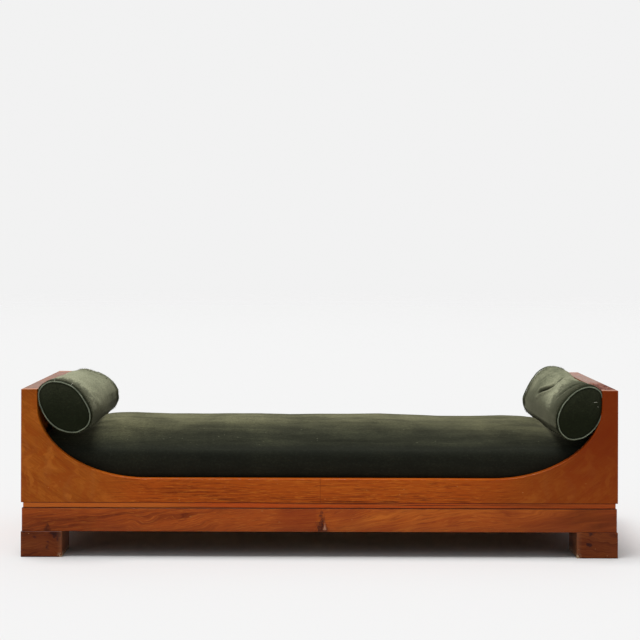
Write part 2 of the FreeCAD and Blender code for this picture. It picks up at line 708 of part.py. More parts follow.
def make_bolsters():
    left = Bolster("left_bolster", -1, size("crown_left"),
                   (size("left_half_width"), size("left_half_width")),
                   (size("left_front_half_height"), size("left_rear_half_height")), size("left_tilt"))
    right = Bolster("right_bolster", 1, size("crown_right"),
                    (size("right_front_half_width"), size("right_rear_half_width")),
                    (size("right_front_half_height"), size("right_rear_half_height")),
                    size("right_tilt"))
    for bolster in (left, right):
        whole = bolster.body()
        for end, word in ((-1, "front"), (1, "rear")):
            whole = whole.fuse(bolster.end_disc(end))
            add_solid(f"{bolster.name}_{word}_piping", bolster.piping(end))
        for end in (-1, 1):
            whole = whole.cut(bolster.piping(end, size("piping_clearance")))
        add_solid(bolster.name, whole)
    return left, right


def add_solid(name, shape):
    feature = doc.addObject("Part::Feature", name)
    feature.Label = name
    feature.Shape = shape


# Mattress: domed across, its long sides a little drawn in, nested under the bolsters

def mattress_section(x, draw, fall, crown):
    """Closed wire of the mattress across the bed, with rounded lower edges and shoulders."""
    half = size("inner_depth") - size("mattress_clearance") - draw
    bottom = size("slat_top") + size("soft_clearance")
    seam = bottom + size("mattress_side") - fall
    corner, shoulder = size("mattress_corner"), size("mattress_shoulder")
    dome = (half ** 2 + crown ** 2) / (2 * crown)
    below = seam + crown - dome
    # the shoulder arc touches the side and the dome
    turn_z = below + math.sqrt((dome - shoulder) ** 2 - (half - shoulder) ** 2)
    slope = math.atan2(half - shoulder, turn_z - below)
    meet = V(x, -dome * math.sin(slope), below + dome * math.cos(slope))
    lean = (slope + math.pi / 2) / 2
    bend = V(x, -half + shoulder - shoulder * math.sin(lean), turn_z + shoulder * math.cos(lean))
    side = V(x, -half, turn_z)
    low = V(x, -half, bottom + corner)
    tuck = corner * (1 - math.sqrt(0.5))
    round_low = V(x, -half + tuck, bottom + tuck)
    flat = V(x, -half + corner, bottom)
    front = [flat, round_low, low, side, bend, meet]
    rear = [V(p.x, -p.y, p.z) for p in front]
    edges = [Part.LineSegment(rear[0], front[0]),
             Part.Arc(front[0], front[1], front[2]),
             Part.LineSegment(front[2], front[3]),
             Part.Arc(front[3], front[4], front[5]),
             Part.Arc(front[5], V(x, 0, seam + crown), rear[5]),
             Part.Arc(rear[5], rear[4], rear[3]),
             Part.LineSegment(rear[3], rear[2]),
             Part.Arc(rear[2], rear[1], rear[0])]
    return Part.Wire([edge.toShape() for edge in edges])


def make_mattress(bolsters):
    half = size("inner_length") - size("mattress_clearance")
    radius = size("mattress_end")
    crowns = {-1: size("crown_left"), 1: size("crown_right")}
    # distance from the middle and how far the outline is drawn in there
    stations = [(share * (half - radius), 0.0) for share in (0.25, 0.5, 0.75, 1.0)]
    for step in range(1, END_STEPS + 1):
        turn = step / END_STEPS * math.pi / 2
        stations.append((half - radius + radius * math.sin(turn), radius * (1 - math.cos(turn))))
    wires = [mattress_section(0, size("mattress_draw"), 0, size("crown_middle"))]
    for side in (-1, 1):
        for away, round_off in stations:
            share = away / half
            draw = size("mattress_draw") * (1 - share) + round_off
            crown = size("crown_middle") + share * (crowns[side] - size("crown_middle"))
            # the shoulder falls by half of what the end draws in and the crown by the rest
            fall = round_off / 2
            wires.append(mattress_section(side * away, draw, fall, crown - fall))
    wires.sort(key=lambda wire: wire.BoundBox.Center.x)
    whole = Part.makeLoft(wires, True, True)
    for bolster in bolsters:
        whole = whole.cut(bolster.body(grow=size("soft_clearance")))
    add_solid("mattress", whole)


def check_and_write():
    for thing in doc.Objects:
        if "Invalid" in thing.State or "Error" in thing.State:
            raise ValueError(f"{thing.Label} didn't recompute: {thing.State}")
    os.makedirs("parts", exist_ok=True)
    pieces = [t for t in doc.Objects if t.TypeId in ("PartDesign::Body", "Part::Feature")]
    for piece in pieces:
        if piece.Shape.isNull() or not piece.Shape.isValid() or not piece.Shape.Solids:
            raise ValueError(f"{piece.Label} has no sound solid")
    for piece in pieces:
        piece.Shape.exportStep(f"parts/{piece.Label}.step")
        box = piece.Shape.BoundBox
        print(f"{piece.Label}: {len(piece.Shape.Solids)} solid(s), volume {piece.Shape.Volume:.0f}, "
              f"x {box.XMin:.1f} {box.XMax:.1f}, y {box.YMin:.1f} {box.YMax:.1f}, "
              f"z {box.ZMin:.1f} {box.ZMax:.1f}")


def main():
    for word, turned in (("front", False), ("rear", True)):
        make_side_panel(f"{word}_side_panel", turned)
        make_long_strip(f"{word}_strip", turned)
        make_long_apron(f"{word}_apron", turned)
        make_ledger(f"{word}_slat_ledger", turned)
    for word, turned in (("left", False), ("right", True)):
        make_end_board(f"{word}_end_board", turned)
        make_end_strip(f"{word}_strip", turned)
        make_end_apron(f"{word}_apron", turned)
    for row_word, side_y in (("front", -1), ("rear", 1)):
        for end_word, side_x in (("left", -1), ("right", 1)):
            make_foot(f"{row_word}_{end_word}_foot", side_x, side_y)
            make_corner_block(f"{row_word}_{end_word}_corner_block", side_x, side_y)
    make_stretcher("centre_stretcher")
    for number, share in enumerate(slat_shares(), start=1):
        make_slat(f"slat_{number:02d}", share)
    add_fasteners()
    make_mattress(make_bolsters())
    doc.recompute()
    check_and_write()


main()
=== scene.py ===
import json
import math

import bmesh
import bpy
import numpy as np
from mathutils import Matrix, Vector, noise
from mathutils.bvhtree import BVHTree

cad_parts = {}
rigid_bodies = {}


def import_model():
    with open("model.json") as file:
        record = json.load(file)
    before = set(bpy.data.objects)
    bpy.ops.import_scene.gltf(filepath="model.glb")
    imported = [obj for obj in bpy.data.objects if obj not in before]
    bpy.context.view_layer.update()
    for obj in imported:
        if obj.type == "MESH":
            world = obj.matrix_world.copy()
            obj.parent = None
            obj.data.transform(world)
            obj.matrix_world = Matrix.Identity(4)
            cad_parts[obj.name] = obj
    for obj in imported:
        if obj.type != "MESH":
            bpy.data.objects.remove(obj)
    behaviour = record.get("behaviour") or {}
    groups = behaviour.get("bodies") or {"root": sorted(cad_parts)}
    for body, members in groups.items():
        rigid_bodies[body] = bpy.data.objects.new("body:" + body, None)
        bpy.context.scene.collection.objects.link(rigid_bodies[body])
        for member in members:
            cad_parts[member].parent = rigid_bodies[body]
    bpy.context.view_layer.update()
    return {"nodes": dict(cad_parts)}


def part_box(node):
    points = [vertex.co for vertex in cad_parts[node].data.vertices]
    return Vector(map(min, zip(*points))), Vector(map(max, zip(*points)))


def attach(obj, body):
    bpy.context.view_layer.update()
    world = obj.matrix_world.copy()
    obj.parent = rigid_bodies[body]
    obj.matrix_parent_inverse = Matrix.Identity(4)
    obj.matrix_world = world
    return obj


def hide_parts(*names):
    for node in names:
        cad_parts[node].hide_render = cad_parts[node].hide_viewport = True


bl_info = {
    "name": "Velvet daybed",
    "version": (1, 0, 0),
    "blender": (4, 5, 0),
    "location": "3D View > Sidebar > Daybed",
    "description": "Finishes a wooden daybed with veneers, a velvet mattress and two velvet bolsters",
    "category": "Object",
}

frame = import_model()

MM = 0.001


def box_of(node):
    """Lowest and highest corner of a node as two plain tuples."""
    low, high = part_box(node)
    return tuple(low), tuple(high)


PANEL_LOW, PANEL_HIGH = box_of("front_side_panel")
BOARD_LOW, BOARD_HIGH = box_of("left_end_board")
APRON_LOW, APRON_HIGH = box_of("front_apron")
PANEL_BOTTOM, PANEL_TOP = PANEL_LOW[2], PANEL_HIGH[2]
APRON_BOTTOM, APRON_TOP = APRON_LOW[2], APRON_HIGH[2]
BOARD_TOP = BOARD_HIGH[2]
CROWN_TOP = box_of("mattress")[1][2]
INNER_LENGTH = -BOARD_HIGH[0]
INNER_DEPTH = BOARD_HIGH[1]
SEAT_LEVEL = box_of("slat_01")[1][2]
SEAM_AWAY = (box_of("left_bolster_rear_piping")[0][1] + box_of("left_bolster_rear_piping")[1][1]) / 2


# Sizes and colours that a user would change

def tone_property(name, text, *tone):
    return bpy.props.FloatVectorProperty(name=name, description=text, subtype="COLOR", size=3, min=0, max=1,
                                         default=tone)


def share_property(name, text, default):
    return bpy.props.FloatProperty(name=name, description=text, subtype="FACTOR", min=0, max=1, default=default)


def length_property(name, text, millimetres):
    return bpy.props.FloatProperty(name=name, description=text, subtype="DISTANCE", unit="LENGTH",
                                   default=millimetres * MM)


def number_property(name, text, default):
    return bpy.props.FloatProperty(name=name, description=text, default=default)


class WoodLook(bpy.types.PropertyGroup):
    panel_tone: tone_property("Panel tone", "Middle tone of the veneer in the middle of the bed",
                              0.50, 0.089, 0.0040)
    olive_tone: tone_property("Olive tone", "Brown tone of the figured veneer at the ends", 0.425, 0.099, 0.0060)
    dark_tone: tone_property("Dark tone", "Dark grain lines", 0.205, 0.028, 0.0015)
    light_tone: tone_property("Light tone", "Light streaks between the grain lines", 0.66, 0.160, 0.0100)
    foot_tone: tone_property("Foot tone", "Middle tone of the block feet", 0.190, 0.034, 0.0032)
    plain_tone: tone_property("Inner wood tone", "Bare wood of slats, ledgers and blocks", 0.33, 0.22, 0.125)
    gloss: share_property("Polish", "Strength of the polish over the veneer", 0.24)


class VelvetLook(bpy.types.PropertyGroup):
    deep_tone: tone_property("Deep tone", "Velvet looked into along its pile", 0.0090, 0.0098, 0.0060)
    worn_tone: tone_property("Worn tone", "Velvet whose pile is brushed or worn", 0.052, 0.055, 0.030)
    sheen_tone: tone_property("Sheen tone", "Light that the pile catches at a low angle", 0.80, 0.78, 0.52)
    cord_tone: tone_property("Piping tone", "Cloth of the covered cords", 0.190, 0.215, 0.145)


class CushionSizes(bpy.types.PropertyGroup):
    mattress_voxel: length_property("Mattress grid", "Spacing of the mattress's points before it is inflated", 15)
    bolster_voxel: length_property("Bolster grid", "Spacing of a bolster's points before it is inflated", 7.5)
    inset: length_property("Slack", "How much smaller a cover is before it is inflated", 7)
    cap: length_property("Swelling limit", "Furthest that a point of a cover may move", 24)
    pressure: number_property("Pressure", "Pressure of the filling on its cover", 4.0)


class TrimSizes(bpy.types.PropertyGroup):
    cord_radius: length_property("Piping radius", "Radius of the covered cords", 1.95)
    tuft_length: length_property("Pile tuft length", "Length of the ruffled pile beside the piping", 6)
    tuft_density: number_property("Pile tufts", "Tufts per square metre beside the piping", 60000.0)
    thread_radius: length_property("Loose thread radius", "Radius of the loose ends of thread at the seams", 0.55)


class StageSetup(bpy.types.PropertyGroup):
    eye: bpy.props.FloatVectorProperty(
        name="Camera place", description="Where the camera stands",
        subtype="TRANSLATION", unit="LENGTH", size=3, default=(-0.0285, -5.097, 1.080))
    lens: number_property("Lens", "Focal length in millimetres", 75.8)
    shift: bpy.props.FloatVectorProperty(
        name="Camera shift", description="Sideways and upward shift of the picture",
        size=2, default=(0.0125, -0.1086))
    roll: bpy.props.FloatProperty(
        name="Camera roll", description="Turn of the camera about its line of sight",
        subtype="ANGLE", unit="ROTATION", default=math.radians(-0.16))
    paper: share_property("Background", "Brightness of the background", 0.887)
    ground: share_property("Floor", "Paleness of the floor", 0.772)
    key: number_property("Key light", "Strength of the main light", 2.62)
    fill: number_property("Fill light", "Strength of the light from above", 0.42)


# Shader and geometry trees

def operation(name):
    """Method of a value that adds one Math node."""
    def method(self, *others):
        inputs = dict(enumerate((self, *others)))
        return Value(self.tree, self.tree.out("ShaderNodeMath", inputs, operation=name))
    return method


class Value:
    """A number socket of a tree. Arithmetic on it adds Math nodes."""
    __add__ = __radd__ = operation("ADD")
    __mul__ = __rmul__ = operation("MULTIPLY")
    __sub__ = operation("SUBTRACT")
    __truediv__ = operation("DIVIDE")
    __pow__ = operation("POWER")
    __abs__ = operation("ABSOLUTE")
    sine = operation("SINE")
    most = operation("MAXIMUM")

    def __init__(self, tree, socket):
        self.tree = tree
        self.socket = socket

    def __rsub__(self, other):
        return self * -1.0 + other

    def step(self, low, high):
        """0 below low, 1 above high, smooth between; or the reverse where low is the higher."""
        flipped = float(low > high)
        inputs = {"Value": self, "From Min": min(low, high), "From Max": max(low, high),
                  "To Min": flipped, "To Max": 1.0 - flipped}
        return Value(self.tree, self.tree.out("ShaderNodeMapRange", inputs, interpolation_type="SMOOTHSTEP"))


class Tree:
    """A node tree, with the methods that add nodes to it."""

    def __init__(self, nodes, links):
        self.nodes = nodes
        self.links = links

    def add(self, kind, sockets=None, **settings):
        node = self.nodes.new(kind)
        for name, setting in settings.items():
            setattr(node, name, setting)
        for key, given in (sockets or {}).items():
            socket = self.find_input(node, key)
            if isinstance(given, Value):
                given = given.socket
            if isinstance(given, bpy.types.NodeSocket):
                self.links.new(given, socket)
            else:
                socket.default_value = given
        return node

    def out(self, kind, sockets=None, **settings):
        """First output of a new node."""
        return self.add(kind, sockets, **settings).outputs[0]

    def find_input(self, node, key):
        if isinstance(key, int):
            return node.inputs[key]
        for socket in node.inputs:
            if key == socket.identifier:
                return socket
        for socket in node.inputs:
            if key == socket.name and socket.enabled:
                return socket
        raise KeyError(f"{node.bl_idname} has no input {key}")


class Surface(Tree):
    """The tree of one material, on object coordinates, and the colour that its layers build up."""

    def __init__(self, name):
        self.material = bpy.data.materials.new(name)
        self.material.use_nodes = True
        made = self.material.node_tree
        made.nodes.clear()
        super().__init__(made.nodes, made.links)
        self.place = self.add("ShaderNodeTexCoord").outputs["Object"]
        self.x, self.y, self.z = self.split(self.place)
        self.colour = None

    def split(self, vector):
        node = self.add("ShaderNodeSeparateXYZ", {0: vector})
        return [Value(self, socket) for socket in node.outputs]

    def vector(self, x, y, z):
        return self.out("ShaderNodeCombineXYZ", {0: x, 1: y, 2: z})

    def turned(self, vector, angles, scale=(1, 1, 1)):
        return self.out("ShaderNodeMapping", {"Vector": vector, "Rotation": angles, "Scale": scale})

    def moved(self, vector, shift):
        return self.out("ShaderNodeVectorMath", {0: vector, 1: shift}, operation="ADD")

    def cloud(self, scale, detail, roughness=0.55, distortion=0.0, place=None):
        """Noise of one scale along every axis."""
        inputs = {"Vector": place or self.place, "Scale": scale, "Detail": detail, "Roughness": roughness,
                  "Distortion": distortion}
        return Value(self, self.out("ShaderNodeTexNoise", inputs))

    def streaks(self, scale, *settings, place=None):
        """Noise with its own scale along each axis."""
        return self.cloud(1.0, *settings, place=self.turned(place or self.place, (0, 0, 0), scale))

    def cells(self, vector, scale, randomness=1.0):
        """Distance to the nearest of scattered points, and a number of that point between 0 and 1."""
        inputs = {"Vector": vector, "Scale": scale, "Randomness": randomness}
        found = self.add("ShaderNodeTexVoronoi", inputs, feature="F1").outputs
        return Value(self, found["Distance"]), self.split(found["Color"])[0]

    def ramp(self, value, *stops):
        node = self.add("ShaderNodeValToRGB", {0: value})
        elements = node.color_ramp.elements
        elements.remove(elements[0])
        elements[0].position = stops[0][0]
        elements[0].color = (*stops[0][1], 1.0)
        for place, tone in stops[1:]:
            elements.new(place).color = (*tone, 1.0)
        return node.outputs[0]

    def blend(self, share, under, over, way="MIX"):
        inputs = {"Factor_Float": share, "A_Color": under,
                  "B_Color": (*over, 1.0) if isinstance(over, tuple) else over}
        mixed = self.add("ShaderNodeMix", inputs, data_type="RGBA", blend_type=way, clamp_factor=True)
        return next(s for s in mixed.outputs if s.identifier == "Result_Color")

    def paint(self, share, tone):
        """Lays a tone over the colour so far, by a share."""
        self.colour = self.blend(share, self.colour, tone)

    def attribute(self, name):
        node = self.add("ShaderNodeAttribute", attribute_type="GEOMETRY", attribute_name=name)
        return Value(self, node.outputs["Fac"])

    def bumps(self, *layers):
        """Normal from several heights in millimetres, finest last."""
        normal = None
        for height, depth in layers:
            inputs = {"Height": height, "Strength": 1.0, "Distance": depth * MM}
            if normal is not None:
                inputs["Normal"] = normal
            normal = self.out("ShaderNodeBump", inputs)
        return normal

    def finish(self, **sockets):
        """Closes the tree with the colour so far, unless another one is given."""
        named = {"Base Color": self.colour}
        for key, value in sockets.items():
            named[key.replace("_", " ").title().replace("Ior", "IOR")] = value
        self.add("ShaderNodeOutputMaterial", {"Surface": self.out("ShaderNodeBsdfPrincipled", named)})
        return self.material


class Shape(Tree):
    """A geometry tree with named inputs, which ends in Realize Instances and Set Material."""

    def __init__(self, name, **inputs):
        self.group = bpy.data.node_groups.new(name, "GeometryNodeTree")
        super().__init__(self.group.nodes, self.group.links)
        face = self.group.interface
        for way in ("INPUT", "OUTPUT"):
            face.new_socket(name="Geometry", in_out=way, socket_type="NodeSocketGeometry")
        self.names = {}
        for key, kind in {**inputs, "finish": "NodeSocketMaterial"}.items():
            self.names[key] = face.new_socket(name=key, in_out="INPUT", socket_type=kind).identifier
        self.entry = self.add("NodeGroupInput")
        self.geometry = self.entry.outputs[0]

    def given(self, key):
        return next(s for s in self.entry.outputs if s.identifier == self.names[key])

    def close(self, geometry):
        whole = self.out("GeometryNodeRealizeInstances", {0: geometry})
        painted = self.out("GeometryNodeSetMaterial", {0: whole, "Material": self.given("finish")})
        self.add("NodeGroupOutput", {0: painted})

    def grow(self, source, name, **values):
        """Plain mesh object that the tree makes of a source object, which is removed."""
        modifier = source.modifiers.new("shape", "NODES")
        modifier.node_group = self.group
        for key, value in values.items():
            modifier[self.names[key]] = value
        made = bpy.data.objects.new(name, evaluated_mesh(source, name))
        bpy.context.scene.collection.objects.link(made)
        bpy.data.objects.remove(source)
        return made


def evaluated_mesh(thing, name):
    bpy.context.view_layer.update()
    graph = bpy.context.evaluated_depsgraph_get()
    made = bpy.data.meshes.new_from_object(thing.evaluated_get(graph), depsgraph=graph)
    made.name = name
    return made


def new_object(name, points, faces=(), edges=()):
    made = bpy.data.meshes.new(name)
    made.from_pydata([tuple(p) for p in points], list(edges), list(faces))
    thing = bpy.data.objects.new(name, made)
    bpy.context.scene.collection.objects.link(thing)
    return thing


def set_material(thing, material):
    thing.data.materials.clear()
    thing.data.materials.append(material)


def smooth(thing):
    thing.data.polygons.foreach_set("use_smooth", [True] * len(thing.data.polygons))


# Wood

GRAIN_TURNS = {"x": (0, 0, 0), "y": (0, 0, math.radians(90)), "z": (0, math.radians(90), 0)}


def grain_heights(surface, line, fineness=1.0, shortness=1.0):
    """Broad bands, fibres and pores of wood whose grain runs along the first axis of a vector."""
    def grain(along, across, *settings):
        scale = (along * shortness, across * fineness, across * fineness)
        return surface.streaks(scale, *settings, place=line)
    return grain(0.9, 13.0, 5.0, 0.55, 0.6), grain(5.0, 150.0, 4.0, 0.6), grain(22.0, 520.0, 2.0, 0.5)


def flecked(surface, line, strength, dark=(0.20, 0.026, 0.002), light=(0.74, 0.21, 0.018)):
    """Short dark and light strokes along the first axis of a vector."""
    strokes = surface.streaks((17.0, 260.0, 260.0), 3.0, 0.65, place=line)
    surface.paint(strokes.step(0.52, 0.66) * strength, dark)
    moved = surface.moved(line, (1.3, 0.2, 0.4))
    glints = surface.streaks((26.0, 340.0, 340.0), 3.0, 0.65, place=moved)
    surface.paint(glints.step(0.54, 0.68) * strength, light)


def specks(surface, size, share, seed):
    """Scattered small chips, longer than high, in a share of the cells."""
    ragged = surface.cloud(2.2 / size, 2.0) * 0.22 - 0.11
    moved = surface.moved(surface.place, (seed, seed * 0.7, -seed))
    near, number = surface.cells(surface.turned(moved, (0, 0.3, 0), (0.5, 1.0, 1.0)), 1.0 / size)
    return (near + ragged).step(0.14, 0.07) * number.step(1.0 - share - 0.02, 1.0 - share)


def joint_shade_lines(surface, reach, strength, low=None, high=None):
    """Painted shade: dark lines in the recess joints, where shadow falls, at a lowest and a highest level."""
    ragged = surface.streaks((14.0, 14.0, 60.0), 3.0) - 0.5
    level = surface.z + ragged * (reach * 0.8)
    lines = level.step(low + reach, low + reach * 0.35)
    if high is not None:
        lines = lines.most(level.step(high - reach, high - reach * 0.35))
    surface.paint(lines * strength, (0.070, 0.012, 0.004))


def edge_wear(surface, low, high, reach):
    """1 at the ends of a box and along its top, ragged towards its middle."""
    ragged = surface.cloud(90.0, 3.0) * (reach * 1.2) - reach * 0.6
    half = (high[0] - low[0]) / 2
    across = abs(surface.x - (high[0] + low[0]) / 2) + ragged
    up = surface.z + ragged
    return across.step(half - reach, half).most(up.step(high[2] - reach, high[2]))


def veneered(surface, look, grain):
    """Grain colours from dark lines through the middle tone to light streaks."""
    bands, fibres, pores = grain
    tone = bands * 0.52 + fibres * 0.34 + pores * 0.14
    surface.colour = surface.ramp(tone, (0.36, look.dark_tone), (0.47, look.panel_tone),
                                  (0.53, look.panel_tone), (0.66, look.light_tone))


def brown_figure(surface, grain, dark, middle, light):
    """Browner veneer of the ends, from the same grain."""
    bands, fibres, _ = grain
    return surface.ramp(bands * 0.6 + fibres * 0.4, dark, middle, light)


def polished(surface, grain, gloss, rough=0.36, bare=0.22):
    """Old polish over the wood; bare is what the wood itself reflects."""
    bands, fibres, pores = grain
    worn = surface.cloud(14.0, 4.0)
    roughness = worn * 0.16 + fibres * 0.06 + (rough - 0.11)
    normal = surface.bumps((bands, 0.10), (pores, 0.05))
    return surface.finish(roughness=roughness, normal=normal, coat_weight=gloss, coat_roughness=0.16,
                          specular_ior_level=bare)


def panel_material(look):
    """Long panels: level grain in the middle, diagonal figure at the ends, a seam between two leaves."""
    surface = Surface("panel_veneer")
    away = abs(surface.x)
    mirrored = surface.vector(away, surface.y, surface.z)
    wander = surface.cloud(2.4, 3.0) - 0.5
    at_end = (away + wander * 0.30).step(0.42, 0.88)
    level = grain_heights(surface, surface.place)
    # leaves at the ends: grain falls towards the middle, curled by a slow warp
    curl = surface.streaks((3.0, 3.0, 7.0), 2.0, 0.5, 1.4, place=mirrored)
    lifted = surface.vector(away + curl * 0.16, surface.y, surface.z + curl * 0.10)
    fallen = surface.turned(lifted, (0, math.radians(36), 0))
    slanted = grain_heights(surface, fallen, 1.5, 7.0)
    grain = [straight + (figured - straight) * at_end for straight, figured in zip(level, slanted)]
    veneered(surface, look, grain)
    flecked(surface, surface.place, 0.55)
    orange = surface.colour
    # the ends are browner, and a slow cloud goes between orange and olive
    surface.colour = brown_figure(surface, grain, (0.36, (0.310, 0.062, 0.0035)),
                                  (0.50, look.olive_tone), (0.66, (0.52, 0.142, 0.0120)))
    flecked(surface, fallen, 0.30, (0.250, 0.046, 0.003), (0.56, 0.175, 0.022))
    blotch = surface.cloud(24.0, 4.0, 0.6, place=surface.moved(lifted, (4.0, 0, 2.0)))
    surface.paint(blotch.step(0.48, 0.62) * 0.60, (0.395, 0.074, 0.0035))
    bright = surface.cloud(19.0, 3.0, 0.6, place=surface.moved(lifted, (1.0, 0, 5.0)))
    surface.paint(bright.step(0.54, 0.66) * 0.50, (0.60, 0.175, 0.0170))
    olive, surface.colour = surface.colour, orange
    patches = surface.cloud(3.3, 2.0) * 0.5 + at_end * 0.55
    surface.paint(patches.step(0.42, 0.78), olive)
    # shimmer across the figure
    across_figure = surface.turned(lifted, (0, math.radians(-47), 0), (30.0, 6.0, 5.0))
    shimmer = surface.cloud(1.0, 2.0, place=across_figure)
    surface.paint(shimmer.step(0.52, 0.78) * at_end * 0.22, (0.44, 0.14, 0.030))
    # redder and darker towards the right end, more so higher up: partly the veneer's tone, partly painted shade
    # of the light falling off to the right
    right = (surface.x + wander * 0.3).step(0.42, 1.02) * (surface.z.step(0.20, 0.44) * 0.38 + 0.62)
    surface.paint(right * 0.88, (0.232, 0.025, 0.0010))
    # dark lines low in the middle and the seam between the two leaves
    low_lines = surface.streaks((9.0, 9.0, 240.0), 3.0)
    low = surface.z.step(PANEL_BOTTOM + 0.052, PANEL_BOTTOM + 0.008) * (1.0 - at_end)
    surface.paint(low_lines.step(0.54, 0.66) * low * 0.8, (0.10, 0.017, 0.004))
    seam = abs(surface.x - 0.003 + wander * 0.002).step(0.0016, 0.0004)
    surface.paint(seam * 0.40, (0.09, 0.02, 0.006))
    chips = specks(surface, 0.013, 0.16, 3.1) * surface.z.step(PANEL_BOTTOM + 0.16, PANEL_BOTTOM)
    surface.paint(chips * 0.55, (0.66, 0.29, 0.08))
    wear = edge_wear(surface, PANEL_LOW, PANEL_HIGH, 0.0035)
    surface.paint(wear * 0.38, (0.50, 0.22, 0.09))
    # painted shade along the panel's bottom edge, over the recess
    joint_shade_lines(surface, 0.0022, 0.75, PANEL_BOTTOM)
    # the tops of the horns are dull
    gloss = surface.z.step(PANEL_TOP - 0.002, PANEL_TOP - 0.004) * 0.6 * look.gloss + 0.4 * look.gloss
    return polished(surface, grain, gloss, bare=0.08)


def knot(surface, x, z, width, height):
    """Dark flame figure of a branch: a ragged triangle that stands on its base."""
    rough = surface.streaks((170.0, 170.0, 60.0), 4.0, 0.65) - 0.5
    up = (surface.z - z) / height
    across = abs((surface.x - x) / width) + rough * 1.6
    inside = (across + up * 0.62).step(0.72, 0.22)
    mottled = surface.cloud(210.0, 3.0, 0.7).step(0.36, 0.56) * 0.55 + 0.45
    return inside * mottled * up.step(1.3, 0.8) * up.step(-0.1, 0.02)


def apron_material(look):
    """Long aprons: wavy flame grain, browner at the ends, with branch figures."""
    surface = Surface("apron_veneer")
    away = abs(surface.x)
    wander = surface.cloud(3.0, 3.0) - 0.5
    flame = surface.streaks((2.6, 2.6, 9.0), 2.0, 0.5, 0.8) - 0.5
    bent = surface.vector(surface.x, surface.y, surface.z + flame * 0.085)
    tilt = surface.turned(bent, (0, math.radians(7), 0))
    grain = grain_heights(surface, tilt, 0.8)
    veneered(surface, look, grain)
    flecked(surface, tilt, 0.45)
    brown = brown_figure(surface, grain, (0.38, (0.155, 0.026, 0.002)), (0.50, (0.270, 0.049, 0.0035)),
                         (0.64, (0.46, 0.095, 0.0070)))
    at_end = (away + wander * 0.5).step(0.45, 1.0)
    surface.paint(at_end * (surface.x.step(-0.2, 0.3) * 0.48 + 0.38), brown)
    red = surface.cloud(6.0, 1.0).step(0.48, 0.66)
    surface.paint(red * 0.30, (0.29, 0.038, 0.006))
    blush = surface.x.step(-0.175, -0.115) * (surface.x + wander * 0.03).step(0.000, -0.018)
    surface.paint(blush * 0.50, (0.290, 0.032, 0.003))
    # painted shade: darker towards the bottom edge, away from the light above
    low = surface.z.step(APRON_TOP - 0.03, APRON_BOTTOM)
    surface.paint(low * 0.22, (0.14, 0.03, 0.008))
    # the branch figure in the middle, with a paler tongue in it, and a smaller one over the left foot
    middle = knot(surface, 0.008, APRON_BOTTOM, 0.046, 0.082)
    surface.paint(middle * 0.95, (0.050, 0.010, 0.008))
    tongue = knot(surface, 0.019, APRON_BOTTOM + 0.008, 0.009, 0.030)
    surface.paint(tongue * 0.9, (0.60, 0.30, 0.18))
    over_foot = knot(surface, -0.957, APRON_BOTTOM + 0.003, 0.022, 0.030)
    surface.paint(over_foot * 0.8, (0.045, 0.012, 0.007))
    chips = specks(surface, 0.018, 0.14, 5.3)
    surface.paint(chips * 0.55, (0.52, 0.22, 0.06))
    wear = edge_wear(surface, APRON_LOW, APRON_HIGH, 0.003)
    surface.paint(wear * 0.35, (0.44, 0.19, 0.08))
    # painted shade along the apron's bottom and top edges
    joint_shade_lines(surface, 0.0018, 0.6, APRON_BOTTOM, APRON_TOP)
    return polished(surface, grain, look.gloss)


def strip_material(look):
    """Recessed strips: bright orange, straight, with dark lines."""
    surface = Surface("strip_veneer")
    grain = grain_heights(surface, surface.place, 1.5)
    veneered(surface, look, grain)
    streaks = surface.streaks((2.2, 60.0, 150.0), 2.0)
    surface.paint(streaks.step(0.40, 0.56) * 0.9, (0.74, 0.098, 0.0020))
    surface.paint(streaks.step(0.42, 0.32) * 0.8, (0.24, 0.030, 0.0015))
    flecked(surface, surface.place, 0.35)
    # brighter towards the left end and darker towards the right: partly the veneer's tone, partly painted light
    # falling from the left
    surface.paint(surface.x.step(-0.35, -0.60) * 0.75, (0.80, 0.190, 0.015))
    surface.paint(surface.x.step(0.45, 0.75) * 0.5, (0.34, 0.060, 0.004))
    low, high = box_of("front_strip")
    # painted shade along the strip's top and bottom joints
    joint_shade_lines(surface, 0.0032, 0.85, low[2], high[2])
    return polished(surface, grain, look.gloss * 0.25)


def end_material(look, axis, name):
    """Boards, strips and aprons of the ends, with grain along an axis."""
    surface = Surface(name)
    grain = grain_heights(surface, surface.turned(surface.place, GRAIN_TURNS[axis]), 0.9)
    veneered(surface, look, grain)
    brown = brown_figure(surface, grain, (0.38, (0.160, 0.036, 0.004)), (0.50, (0.290, 0.074, 0.008)),
                         (0.64, (0.45, 0.135, 0.018)))
    patches = surface.cloud(4.5, 2.0)
    surface.paint(patches.step(0.36, 0.62) * 0.8, brown)
    chips = specks(surface, 0.017, 0.05, 9.1)
    surface.paint(chips * 0.5, (0.50, 0.28, 0.13))
    # the tops are darker end wood, and the right one is darker and duller near the front
    top = surface.z.step(BOARD_TOP - 0.006, BOARD_TOP - 0.002)
    surface.paint(top * 0.65, (0.150, 0.052, 0.010))
    streaks = surface.streaks((70.0, 16.0, 70.0), 4.0, 0.65)
    front_right_patch = surface.x.step(0.9, 1.0) * (surface.y + streaks * 0.30 - 0.15).step(-0.03, -0.17) * top
    dull = streaks.step(0.42, 0.54)
    surface.paint(front_right_patch * (dull * 0.5 + 0.45), (0.095, 0.014, 0.006))
    gloss = 0.44 + surface.x.step(-0.5, 0.5) * 0.08 + (streaks - 0.5) * 0.35 - front_right_patch * (dull * 0.16 + 0.28)
    return polished(surface, grain, gloss * (top * 0.5 + 0.5), bare=0.0)


